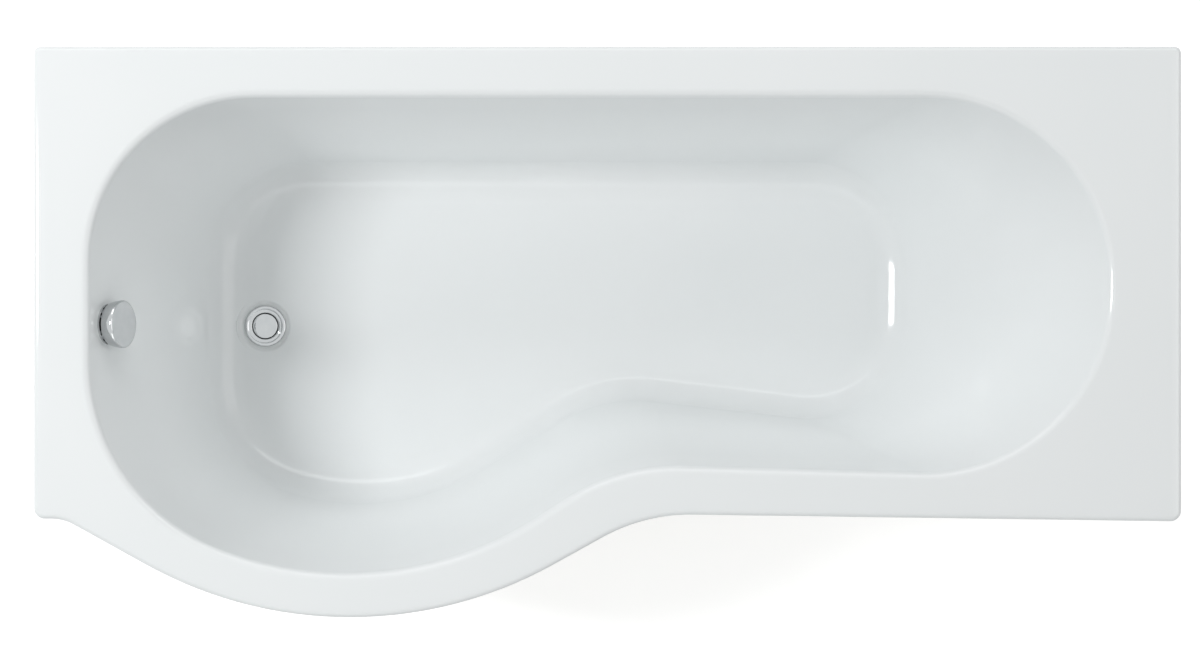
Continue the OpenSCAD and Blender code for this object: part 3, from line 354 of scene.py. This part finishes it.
# %% [markdown]
# The base board is chipboard: pressed flakes of different brown, cut edges and tops alike.
# Voronoi cells serve again, smaller than the zinc's and rough. The battens are sawn pine,
# whose growth rings run along each batten. Bands in space, bent by noise, run along the long
# faces and end in bent lines on the sawn ends, which a flat picture of wood can't do.

# %% Wood
FLAKES_PER_METRE = 380
RINGS_ALONG_X, RINGS_ALONG_Y = (3, 60, 90), (60, 3, 90)    # crowded across the batten


def chipboard_finish():
    """Pressed flakes, each with its own brown."""
    material, tree, shader = blank("pressed chipboard")
    first, second, hollow = cells(tree, FLAKES_PER_METRE)
    tone = blend_of(tree, first, (0.32, 0.21, 0.105), (0.58, 0.43, 0.25))
    tree.links.new(tone, shader.inputs["Base Color"])
    tree.links.new(mapped(tree, second, 0.6, 0.85), shader.inputs["Roughness"])
    raised(tree, shader, hollow, 0.0003)
    return material


def pine_finish(name, crowding):
    """Sawn pine, with its growth rings crowded more in some directions than in others."""
    material, tree, shader = blank(name)
    patches = grain_of(tree, 12, 900).outputs["Patches"]
    tree.links.new(mapped(tree, patches, 0.55, 0.75), shader.inputs["Roughness"])
    place = tree.nodes.new("ShaderNodeTexCoord")
    lay = tree.nodes.new("ShaderNodeMapping")
    lay.inputs["Scale"].default_value = crowding
    tree.links.new(place.outputs["Object"], lay.inputs["Vector"])
    rings = tree.nodes.new("ShaderNodeTexWave")
    rings.inputs["Scale"].default_value = 1.2
    rings.inputs["Distortion"].default_value = 7
    rings.inputs["Detail"].default_value = 3
    rings.bands_direction = "Z"
    tree.links.new(lay.outputs["Vector"], rings.inputs["Vector"])
    tone = blend_of(tree, rings.outputs["Fac"], (0.62, 0.45, 0.25), (0.42, 0.27, 0.13))
    tree.links.new(tone, shader.inputs["Base Color"])
    raised(tree, shader, rings.outputs["Fac"], 0.00025)
    return material


chipboard = chipboard_finish()
pine_x = pine_finish("pine along the bath", RINGS_ALONG_X)
pine_y = pine_finish("pine across the bath", RINGS_ALONG_Y)
print("wood finishes made")

# %% [markdown]
# ## The moulding
# A bath is drawn as three lines seen from above: the outer edge of the rim, the mouth of
# the well and the foot of its walls. Each is a polygon with a radius at every corner. The
# acrylic sheet runs over the first, down at the second and rounds into the floor at the
# third. The tables give the corners in millimetres, counter-clockwise from the wall side of
# the waste end, as x, y and radius. A subdivided cage would be quicker to shape by hand, but
# only true arcs give the even highlights of a machined mould.

# %% Three outlines
OUTER = ((-850, 423, 10), (-850, -277, 16), (-806.51, -277, 72), (-382, -512.31, 623),
         (55.3124, -269.903, 270), (850, -281, 16), (850, 423, 10))
MOUTH = ((-769, 349, 245), (-769, -256.984, 301.541), (-314.645, -413.431, 524.545),
         (17.3124, -197.856, 305), (746, -217, 273.697), (746, 349, 273.697))
FOOT = ((-658.822, 278.469, 165), (-658.822, -226.941, 186.95), (-352.842, -303.23, 388.659),
        (-8.68757, -92.3318, 240), (492.152, -158.646, 169), (492.152, 278.469, 169))
ARC_STEPS = 30                 # round a corner
RUN_STEPS = 6                  # along the straight line between two corners
SHARED_CORNER = 1              # takes the steps of two, since the outer line has one more


def along(corners, shared=None):
    """Points round a line with rounded corners, each with its outward direction."""
    arcs = []
    for i, (x, y, radius) in enumerate(corners):
        corner = Vector((x, y))
        come = (corner - Vector(corners[i - 1][:2])).normalized()
        go = (Vector(corners[(i + 1) % len(corners)][:2]) - corner).normalized()
        turn = math.atan2(come.x * go.y - come.y * go.x, come.dot(go))
        outward = Vector((come.y, -come.x)) * (1 if turn > 0 else -1)
        centre = corner - come * radius * math.tan(abs(turn) / 2) - outward * radius
        steps = 2 * ARC_STEPS + RUN_STEPS if i == shared else ARC_STEPS
        arc = []
        for k in range(steps + 1):
            arm = Matrix.Rotation(turn * k / steps, 2) @ outward
            arc.append((centre + arm * radius, arm * (1 if turn > 0 else -1)))
        arcs.append(arc)
    line = []
    for arc, after in zip(arcs, arcs[1:] + arcs[:1]):
        line += arc
        start, end = arc[-1][0], after[0][0]
        line += [(start.lerp(end, k / RUN_STEPS), arc[-1][1]) for k in range(1, RUN_STEPS)]
    return line


lines = list(zip(along(OUTER), along(MOUTH, SHARED_CORNER), along(FOOT, SHARED_CORNER)))
print(len(lines), "columns round the bath")

# %% [markdown]
# One section through the sheet runs from the bottom of the lip to the floor. Straight
# pieces meet in fillets: small ones at the rim, and a wide cove at the foot of the wall. A
# bevel would keep its width as the wall's slope changes round the bath, while a fillet in
# the section keeps its radius, as the tool that cut the mould did.

# %% Section of the sheet
RIM_Z, FLOOR_Z, LIP_Z = 550, 150, 515
EDGE_R, RIM_R, COVE_R = 8, 13, 65
EDGE_STEPS, DECK_STEPS, RIM_STEPS, WALL_STEPS, COVE_STEPS, FLOOR_STEPS = 8, 4, 10, 6, 18, 12
LIP_BEND = 18                  # a ring this far up the lip
WASTE = Vector((-583, 12, FLOOR_Z))
MIDDLE = Vector((-80, 93, FLOOR_Z))    # every point of the floor's outline sees it


def fillet(a, b, c, radius, steps):
    """Points on the arc that rounds the corner b between a and c."""
    u, w = (a - b).normalized(), (c - b).normalized()
    half = u.angle(w) / 2
    middle = b + (u + w).normalized() * radius / math.sin(half)
    start = b + u * radius / math.tan(half) - middle
    end = b + w * radius / math.tan(half) - middle
    return [middle + start.slerp(end, k / steps) * radius for k in range(steps + 1)]


def spread(start, end, steps):
    """Points between two others, without them."""
    return [start.lerp(end, k / steps) for k in range(1, steps)]


def section(outer, mouth, foot):
    """The sheet's upper face in one column, from the lip down to the floor's middle."""
    def flat(point, z):
        return Vector((*point, z))

    lip = [flat(outer[0], LIP_Z), flat(outer[0], LIP_Z + LIP_BEND)]
    corner, inward = flat(outer[0], RIM_Z), flat(outer[0] - outer[1], RIM_Z)
    edge = fillet(lip[0], corner, inward, EDGE_R, EDGE_STEPS)
    top, low = flat(mouth[0], RIM_Z), flat(foot[0], FLOOR_Z)
    bend = fillet(flat(mouth[0] + mouth[1], RIM_Z), top, low, RIM_R, RIM_STEPS)
    cove = fillet(top, low, flat(foot[0] - foot[1], FLOOR_Z), COVE_R, COVE_STEPS)
    deck = spread(edge[-1], bend[0], DECK_STEPS)
    wall = spread(bend[-1], cove[0], WALL_STEPS)
    floor_shares = (0.015, *(k / FLOOR_STEPS for k in range(1, FLOOR_STEPS)))
    floor_rings = [cove[-1].lerp(MIDDLE, share) for share in floor_shares]
    return lip + edge + deck + bend + wall + cove + floor_rings


sections = [[point * MM for point in section(*column)] for column in lines]
print(len(sections[0]), "points in a section")

# %% [markdown]
# The sheet grows ring by ring: the lip's outline is a ring of edges, each extrusion makes
# the next ring, and its vertices move to their places in the sections. Vacuum forming
# stretches one flat sheet, so one surface without seams is right here too.

# %% Sheet from sections
def of_kind(parts, kind):
    """The vertices, the edges or the faces among the parts that a bmesh operator made."""
    return [part for part in parts if isinstance(part, kind)]


def sheet_from(columns):
    """An open sheet through a list of sections."""
    bm = bmesh.new()
    ring = [bm.verts.new(column[0]) for column in columns]
    edges = [bm.edges.new((a, b)) for a, b in zip(ring, ring[1:] + ring[:1])]
    for row in range(1, len(columns[0])):
        made = bmesh.ops.extrude_edge_only(bm, edges=edges)["geom"]
        fresh = set(of_kind(made, bmesh.types.BMVert))
        above = []
        for vert, column in zip(ring, columns):
            risen = next(e.other_vert(vert) for e in vert.link_edges if e.other_vert(vert) in fresh)
            risen.co = column[row]
            above.append(risen)
        edges = [e for e in of_kind(made, bmesh.types.BMEdge) if set(e.verts) <= fresh]
        ring = above
    bm.normal_update()
    if sum(face.normal.z * face.calc_area() for face in bm.faces) < 0:
        bmesh.ops.reverse_faces(bm, faces=bm.faces[:])
    return bm, edges


def thick_sheet(columns, depth, thickness, lumps=()):
    """A closed sheet under the sections' surface, with soft lumps on its back."""
    bm, last = sheet_from(columns)
    bmesh.ops.edgeloop_fill(bm, edges=last)
    bm.normal_update()
    for vert in bm.verts:
        vert.co -= vert.normal * depth
    twin = bmesh.ops.duplicate(bm, geom=bm.verts[:] + bm.edges[:] + bm.faces[:])["geom"]
    bm.normal_update()
    for vert in of_kind(twin, bmesh.types.BMVert):
        lift = sum(noise.noise(vert.co * per_metre) * height for per_metre, height in lumps)
        vert.co -= vert.normal * (thickness + lift)
    bmesh.ops.reverse_faces(bm, faces=of_kind(twin, bmesh.types.BMFace))
    bmesh.ops.bridge_loops(bm, edges=[edge for edge in bm.edges if edge.is_boundary])
    return bm


SHELL_T, BACKING_T = 5 * MM, 3 * MM
shell = thick_sheet(sections, 0, SHELL_T)
litres = round(shell.calc_volume() * 1000, 2)
bad_edges = sum(not (edge.is_manifold and edge.is_contiguous) for edge in shell.edges)
print("shell:", len(shell.faces), "faces,", litres, "litres of acrylic,", bad_edges, "bad edges")

# %% [markdown]
# Fittings are turned on a lathe: a profile of a few points spun once round. Cylinders with
# bevels would do for the plain ones, but one profile holds every step and curve of a
# fitting, as a drawing of it does. The same turned shapes also serve as cutters for the
# holes.

# %% Lathe
TOUCH = 0.000001               # vertices closer than this are one, in metres
WELD = 0.000002                # the same after a cut, which leaves slivers


def turned(profile, steps=96):
    """A closed profile, as pairs of radius and height in mm, spun round Z."""
    bm = bmesh.new()
    points = [bm.verts.new((r * MM, 0, z * MM)) for r, z in profile]
    loop = [bm.edges.new(pair) for pair in zip(points, points[1:])]
    if profile[0][0] and profile[-1][0]:
        loop.append(bm.edges.new((points[-1], points[0])))
    bmesh.ops.spin(bm, geom=points + loop, cent=(0, 0, 0), axis=(0, 0, 1),
                   angle=math.tau, steps=steps, use_merge=True)
    bmesh.ops.remove_doubles(bm, verts=bm.verts[:], dist=TOUCH)
    bmesh.ops.recalc_face_normals(bm, faces=bm.faces[:])
    return bm


def softened(bm, width, degrees=28, segments=3):
    """Rounds the edges that turn by more than an angle."""
    sharp = [e for e in bm.edges if len(e.link_faces) == 2
             and e.calc_face_angle(0) > math.radians(degrees)]
    bmesh.ops.bevel(bm, geom=sharp, offset=width * MM, affect="EDGES", segments=segments,
                    profile=0.5, material=-1, clamp_overlap=True)
    return bm


def disc(radius, low, high):
    """The profile of a round bar between two heights."""
    return (0, low), (radius, low), (radius, high), (0, high)


def tube(radius, bore, low, high):
    """The profile of a tube between two heights."""
    return (radius, low), (radius, high), (bore, high), (bore, low)


def join(bm, part):
    """Adds another bmesh's shape to the first, and frees the other."""
    mesh = bpy.data.meshes.new("joined")
    part.to_mesh(mesh)
    part.free()
    bm.from_mesh(mesh)
    bpy.data.meshes.remove(mesh)


def bare(name, bm):
    """A mesh object from a bmesh, with nothing on it yet."""
    mesh = bpy.data.meshes.new(name)
    bm.to_mesh(mesh)
    bm.free()
    thing = bpy.data.objects.new(name, mesh)
    bpy.context.scene.collection.objects.link(thing)
    return thing


def carved(piece, tool_bm, place, operation="DIFFERENCE"):
    """Cuts a tool's shape out of a piece, or joins it on, and welds the edges of the cut."""
    tool_bm.transform(place)
    tool = bare("tool", tool_bm)
    cut = piece.modifiers.new("cut", "BOOLEAN")
    cut.object, cut.operation, cut.solver = tool, operation, "EXACT"
    bpy.context.view_layer.update()
    finished = piece.evaluated_get(bpy.context.evaluated_depsgraph_get())
    result = bpy.data.meshes.new_from_object(finished)
    bm = bmesh.new()
    bm.from_mesh(result)
    bmesh.ops.remove_doubles(bm, verts=bm.verts[:], dist=WELD)
    bm.to_mesh(result)
    bm.free()
    piece.modifiers.clear()
    old, piece.data = piece.data, result
    bpy.data.meshes.remove(old)
    bpy.data.objects.remove(tool)


def fitted(piece, material, body, stands_for, crease=32):
    """Smooth shading, a finish, a body to ride on and the solid that the piece stands for."""
    for face in piece.data.polygons:
        face.use_smooth = True
    piece.data.set_sharp_from_angle(angle=math.radians(crease))
    piece.data.materials.clear()
    piece.data.materials.append(material)
    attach(piece, body)
    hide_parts(stands_for)
    print(piece.name, "has", len(piece.data.polygons), "faces")
    return piece


print("lathe ready")

# %% [markdown]
# Waste and overflow are modelled upright at the origin, where a profile is easy to read, and
# then moved by one matrix each. The overflow's matrix also leans it onto the sloping wall.

# %% Places of the fittings
SEAT_Z = 147                   # the waste flange's seat, in the floor's recess
WALL_TILT = 74.6               # from the floor up to the end wall's face, turned round Y
OVERFLOW = Vector((-753.575, 12, 494))
at_waste = Matrix.Translation(Vector((WASTE.x, WASTE.y, SEAT_Z)) * MM)
at_overflow = Matrix.Translation(OVERFLOW * MM) @ Matrix.Rotation(math.radians(WALL_TILT), 4, "Y")
print("the overflow faces", [round(c, 3) for c in at_overflow.to_3x3() @ Vector((0, 0, 1))])

# %% [markdown]
# The floor dips into a round recess for the waste. One cutter has the section of the recess
# and of the hole in its middle: a flat seat, a hollow foot, a sloped side and a soft upper
# edge. Two cutters that end in the same flat seat would leave slivers there. A boss under
# the sheet keeps the acrylic thick.

# %% Shell with its recess and holes
DRAIN = ((0, -9), (27, -9), (27, 0), (38.2, 0), (39.4, 0.15), (40.4, 0.6), (42.0, 1.9),
         (43.0, 2.55), (44.2, 2.9), (45.6, 3.03), (49, 3.2), (49, 14), (0, 14))
BOSS_R, OVERFLOW_HOLE_R = 48.5, 26
moulding = bare("acrylic_moulding", shell)
carved(moulding, softened(turned(disc(BOSS_R, -5, 1.5), 72), 1), at_waste, "UNION")
carved(moulding, turned(DRAIN, 128), at_waste)
carved(moulding, turned(disc(OVERFLOW_HOLE_R, -10, 4)), at_overflow)
fitted(moulding, acrylic, "bath", "bath_shell")

# %% [markdown]
# Under the acrylic lies the glass fibre, laid on by hand after moulding. It follows the
# sheet, but its back is lumpy from the roller, so its vertices move by a soft noise.

# %% Glass fibre backing
BACKING_ROW = 11               # the backing starts under the deck, past the outer edge
LUMPS = ((9, 0.0006), (38, 0.0004))    # per metre, and height in metres
UNDER = SHELL_T + 0.05 * MM    # how deep under the acrylic's face it starts
backed = [column[BACKING_ROW:] for column in sections]
backing = bare("glass_fibre_backing", thick_sheet(backed, UNDER, BACKING_T, LUMPS))
carved(backing, turned(disc(BOSS_R, -12, 9), 72), at_waste)
carved(backing, turned(disc(OVERFLOW_HOLE_R, -14, 0), 72), at_overflow)
fitted(backing, glass_fibre, "bath", "grp_backing")

# %% [markdown]
# ## Waste and overflow
# The chrome flange is a thin bright ring with a dished inside, and the plug a flat button
# in its middle. Polished brass under chrome has no sharp edge, so the profiles carry the
# small radii in which the lamps show as thin bright rings. Four spokes under the plug carry
# the hub in which its stem slides. They are rounded boxes, set round it by rotation.

# %% Waste flange
FLANGE_Z = 1.5                 # the flange stands on its seal
FLANGE = ((20, -5.5), (20, -25), (24.8, -25), (24.8, -2.6), (26.6, -1.6), (26.6, 0), (35, 0),
          (35, 0.8), (34.6, 1.5), (33.6, 2.05), (32.4, 2.3), (30.6, 2.4), (29.7, 2.3),
          (29.2, 1.9), (28.6, 1.35), (27.6, 1.1), (25.8, 1.0), (23.4, 0.8), (22.7, 0.4),
          (22.4, -0.4), (22.3, -3.0), (21.9, -3.6))
HUB = tube(7, 4.06, -22, -12)
SPOKE = Vector((14, 2.5, 4)) * MM
SPOKE_PLACE = Vector((13.3, 0, -16)) * MM
SPOKES = 4
flange_bm = softened(turned(FLANGE, 128), 0.15, 40, 2)
join(flange_bm, softened(turned(HUB, 48), 0.4))
for number in range(SPOKES):
    spoke = bmesh.new()
    bmesh.ops.create_cube(spoke, size=1)
    bmesh.ops.scale(spoke, verts=spoke.verts[:], vec=SPOKE)
    softened(spoke, 0.5)
    spoke.transform(Matrix.Translation(SPOKE_PLACE))
    spoke.transform(Matrix.Rotation(math.tau * (number + 0.5) / SPOKES, 4, "Z"))
    join(flange_bm, spoke)
flange_bm.transform(at_waste @ Matrix.Translation((0, 0, FLANGE_Z * MM)))
fitted(bare("chrome_waste_flange", flange_bm), chrome, "bath", "waste_flange", 40)

# %% Plug
PLUG_TOP = FLANGE_Z + 1.7      # a little above the flange's dish
PLUG = ((0, -3.4), (20, -3.4), (21, -2.6), (21, -0.9), (20.85, -0.5), (20.5, -0.2),
        (20, 0), (15, 0.12), (8, 0.18), (0, 0.2))
plug_bm = turned(PLUG, 128)
plug_bm.transform(at_waste @ Matrix.Translation((0, 0, PLUG_TOP * MM)))
fitted(bare("chrome_plug", plug_bm), chrome, "plug", "waste_plug", 50)

# %% [markdown]
# The knob is a chromed shell that opens towards the wall. Its barrel swells a little to the
# face, and the face meets it in a small round edge, where the chrome is brightest. Both
# curves are parts of the profile, since a bevel would have to leave out the thin rear rim.

# %% Overflow knob
KNOB_R, KNOB_SWELL, KNOB_EDGE = 36, 3, 3
KNOB_REAR, KNOB_FACE = 7, 27
BARREL_STEPS, EDGE_TURNS = 8, 9
inside = [(0, 24.5), (31.5, 24.5), (33.5, 22.5), (30.6, 7.6), (31.1, 7), (32.6, 7), (33, 7.5)]
barrel, rounding = [], []
for step in range(2, BARREL_STEPS + 1):
    share = step / BARREL_STEPS
    swell = KNOB_SWELL * math.sin(math.pi / 2 * share)
    height = KNOB_REAR + (KNOB_FACE - KNOB_EDGE - KNOB_REAR) * share
    barrel.append((KNOB_R - KNOB_SWELL + swell, height))
for step in range(1, EDGE_TURNS + 1):
    turn = math.pi / 2 * step / EDGE_TURNS
    rounding.append((KNOB_R - KNOB_EDGE * (1 - math.cos(turn)),
                     KNOB_FACE - KNOB_EDGE * (1 - math.sin(turn))))
knob_bm = turned(inside + barrel + rounding + [(20, KNOB_FACE), (0, KNOB_FACE)], 160)
join(knob_bm, turned(tube(9, 5, KNOB_REAR, 24.8), 48))
knob_bm.transform(at_overflow)
fitted(bare("chrome_knob", knob_bm), chrome, "knob", "overflow_knob", 40)

# %% [markdown]
# ## Hose and cable
# Behind the end wall a ribbed hose carries the overflow's water to the waste, and a cable
# in its jacket works the plug. Both are fixed at their two ends. A curve with a round bevel
# would do for the cable, but not for ribs. So a ring of vertices is extruded along each
# route, and for the hose its radius rises and falls with every rib.

# %% Routes
def rounded_route(corners, radii, steps):
    """A route's points, in metres, with its corners rounded."""
    spots = [Vector(c) * MM for c in corners]
    route = [spots[0]]
    for before, spot, after, radius in zip(spots, spots[1:], spots[2:], radii[1:]):
        route += fillet(before, spot, after, radius * MM, steps)
    return route + [spots[-1]]


def evenly(route, step):
    """Points along a route at even distances, and its length."""
    marks = [0.0]
    for a, b in zip(route, route[1:]):
        marks.append(marks[-1] + (b - a).length)
    count = round(marks[-1] / step)
    points, i = [], 0
    for k in range(count + 1):
        at = marks[-1] * k / count
        while i < len(marks) - 2 and marks[i + 1] < at:
            i += 1
        points.append(route[i].lerp(route[i + 1], (at - marks[i]) / (marks[i + 1] - marks[i])))
    return points, marks[-1]


def swept(points, radii, sides):
    """A closed tube along points with a radius at each."""
    bm = bmesh.new()
    along_x = abs((points[1] - points[0]).normalized().x) > 0.9
    side = Vector((0, 0, 1)) if along_x else Vector((1, 0, 0))
    places = []
    for before, point, after in zip([points[0]] + points, points, points[1:] + [points[-1]]):
        tangent = (after - before).normalized()
        side = (side - tangent * side.dot(tangent)).normalized()
        turn = Matrix((side, tangent.cross(side), tangent)).transposed().to_4x4()
        places.append(Matrix.Translation(point) @ turn)
    bmesh.ops.create_circle(bm, cap_ends=True, segments=sides, radius=radii[0], matrix=places[0])
    edges = bm.edges[:]
    for i in range(1, len(points)):
        made = bmesh.ops.extrude_edge_only(bm, edges=edges)["geom"]
        ring = of_kind(made, bmesh.types.BMVert)
        fresh = set(ring)
        edges = [edge for edge in of_kind(made, bmesh.types.BMEdge) if set(edge.verts) <= fresh]
        growth = radii[i] / radii[i - 1]
        move = places[i] @ Matrix.Diagonal((growth, growth, 1, 1)) @ places[i - 1].inverted()
        bmesh.ops.transform(bm, matrix=move, verts=ring)
    bmesh.ops.edgeloop_fill(bm, edges=edges)
    bmesh.ops.recalc_face_normals(bm, faces=bm.faces[:])
    return bm


HOSE_ROUTE = ((-768.926, 12, 425.463), (-756.179, 12, 379.186), (-756.179, 12, 112.2),
              (-643, 12, 112.2))
CABLE_ROUTE = ((-785.39, 59.8, 485.237), (-785.39, 114.8, 485.237), (-770, 125, 380),
               (-755, 130, 105), (-650, 150, 100), (-583, 151.8, 111), (-583, 71.8, 111))
HOSE_BENDS, CABLE_BENDS = (0, 100, 70), (0, 45, 45, 45, 45, 45)    # radii at the corners
RIB_PITCH = 5 * MM
RIB = (0, 0.25, 0.85, 1, 0.85, 0.25)     # share of the rib's height round one pitch
hose_points, hose_length = evenly(rounded_route(HOSE_ROUTE, HOSE_BENDS, 24), RIB_PITCH / len(RIB))
cable_points, cable_length = evenly(rounded_route(CABLE_ROUTE, CABLE_BENDS, 12), 5 * MM)
print("hose", round(hose_length * 1000, 1), "mm, cable", round(cable_length * 1000, 1), "mm")

# %% Ribbed hose
HOSE_R, RIB_H = 16 * MM, 2.2 * MM
hose_radii = [HOSE_R - RIB_H * (1 - RIB[i % len(RIB)]) for i in range(len(hose_points))]
hose_bm = swept(hose_points, hose_radii, 40)
hose = fitted(bare("ribbed_hose", hose_bm), hose_plastic, "bath", "overflow_hose", 60)

# %% Cable in its jacket
CABLE_R = 3 * MM
cable_bm = swept(cable_points, [CABLE_R] * len(cable_points), 20)
cable = fitted(bare("cable_jacket", cable_bm), cable_jacket, "bath", "bowden_cable", 60)

# %% [markdown]
# ## Legs
# The feet stand on threaded studs, each locked by two hexagon nuts. A bump would leave the
# outline of a stud smooth, so the thread is real: a small roof spun round the stud while it
# climbs by its pitch. A nut could be a cylinder of six sides, but the curved chamfers at its
# corners come only from a turned blank whose six flats are milled afterwards.

# %% Threaded studs
STUD_R, PITCH, STUD_FOOT, STUD_TOP = 5, 1.5, 5, 116
THREAD_STEPS = 16              # round one turn
THREAD_DEPTH = 0.61            # of the pitch
FEET = {1: (-420, 280), 2: (-420, -290), 3: (330, 297), 4: (330, -173), 5: (-45, 75)}


def threaded(low, high):
    """A closed rod with a real thread between two heights, in mm."""
    bm = bmesh.new()
    root, crest = STUD_R - THREAD_DEPTH * PITCH, STUD_R - 0.1
    roof = ((root, 0), (crest, 0.42), (crest, 0.58), (root, 1))    # radius, and share of a pitch
    start = [bm.verts.new((r * MM, 0, (low + (share - 1.5) * PITCH) * MM)) for r, share in roof]
    line = [bm.edges.new(pair) for pair in zip(start, start[1:])]
    turns = math.ceil((high - low) / PITCH) + 3        # some to spare, which are cut off
    bmesh.ops.spin(bm, geom=start + line, cent=(0, 0, 0), axis=(0, 0, 1),
                   dvec=(0, 0, PITCH * MM / THREAD_STEPS),
                   angle=math.tau * turns, steps=turns * THREAD_STEPS)
    bmesh.ops.remove_doubles(bm, verts=bm.verts[:], dist=WELD)
    for height, keep in ((low, 1), (high, -1)):
        everything = bm.verts[:] + bm.edges[:] + bm.faces[:]
        bmesh.ops.bisect_plane(bm, geom=everything, dist=TOUCH, plane_co=(0, 0, height * MM),
                               plane_no=(0, 0, -keep), clear_outer=True)
        rim = [edge for edge in bm.edges
               if edge.is_boundary and abs(edge.verts[0].co.z - height * MM) < 10 * TOUCH]
        bmesh.ops.edgeloop_fill(bm, edges=rim)
    bmesh.ops.recalc_face_normals(bm, faces=bm.faces[:])
    return bm


for number, (x, y) in FEET.items():
    stud_bm = threaded(STUD_FOOT, STUD_TOP)
    stud_bm.transform(Matrix.Translation((x * MM, y * MM, 0)))
    stud = bare(f"threaded_stud_{number}", stud_bm)
    fitted(stud, zinc, f"foot_{number}", f"foot_stud_{number}", 35)

# %% Hexagon nuts
NUT_CORNER, NUT_H = 9.8, 8
BORE, BORE_EDGE = 5.1, 0.6
CHANNEL_Z, WEB_T = 94, 2       # under the channel's web, and its thickness


def hexagon_nut():
    """A turned blank with its six flats milled."""
    flat = NUT_CORNER * math.cos(math.radians(30))
    low = [(flat * 0.96, 0), (flat, 0.25), (NUT_CORNER * 0.96, 0.95), (NUT_CORNER, 1.3)]
    high = [(r, NUT_H - z) for r, z in reversed(low)]
    hole = [(BORE + BORE_EDGE, NUT_H), (BORE, NUT_H - BORE_EDGE), (BORE, BORE_EDGE),
            (BORE + BORE_EDGE, 0)]
    bm = turned(low + high + hole, 72)
    for vert in bm.verts:
        spot = vert.co.to_2d()
        turn = math.degrees(math.atan2(spot.y, spot.x)) % 60 - 30
        limit = flat * MM / math.cos(math.radians(turn))
        if spot.length > limit:
            spot *= limit / spot.length
            vert.co.x, vert.co.y = spot
    return bm


nuts_bm = bmesh.new()
for x, y in FEET.values():
    for z in (CHANNEL_Z - NUT_H, CHANNEL_Z + WEB_T):
        nut = hexagon_nut()
        nut.transform(Matrix.Translation((x * MM, y * MM, z * MM)))
        join(nuts_bm, nut)
fitted(bare("hexagon_nuts", nuts_bm), zinc, "bath", "stud_nuts", 25)

# %% [markdown]
# ## The other solids
# The rest of the model already has the right shapes, and no camera comes close enough for
# more. Each solid gets the finish of what it is made of.

# %% Finishes for the solids
FINISH_OF = {
    "base_board": chipboard,
    "rim_batten_rear": pine_x, "rim_batten_front": pine_x,
    "rim_batten_waste_end": pine_y, "rim_batten_back_end": pine_y,
    "waste_body": white_plastic, "lever_cover": white_plastic, "overflow_body": white_plastic,
    "hose_nut_top": white_plastic, "hose_nut_bottom": white_plastic, "knob_spindle": white_plastic,
    "lift_lever": brass, "cable_drum": brass,
    "overflow_plate": chrome, "overflow_screws": chrome, "plug_stem": chrome,
}
ZINC_NODES = ("leg_channel_waste_end", "leg_channel_back_end", "centre_foot_bracket",
              "channel_screws", "wall_bracket_1", "wall_bracket_2", "bracket_screws",
              "lever_pin", "cable_ferrule_top", "cable_ferrule_bottom")
RUBBER_NODES = ("flange_seal", "waste_washer", "plug_seal", "overflow_gasket", "hose_seal_top",
                "hose_seal_bottom")
FINISH_OF.update({name: zinc for name in ZINC_NODES})
FINISH_OF.update({name: rubber for name in RUBBER_NODES})
FINISH_OF.update({f"foot_pad_{i}": black_plastic for i in FEET})
for name, material in FINISH_OF.items():
    nodes[name].data.materials.clear()
    nodes[name].data.materials.append(material)
shown = [name for name, node in nodes.items() if not node.hide_render]
print("solids without a finish:", [name for name in shown if name not in FINISH_OF])
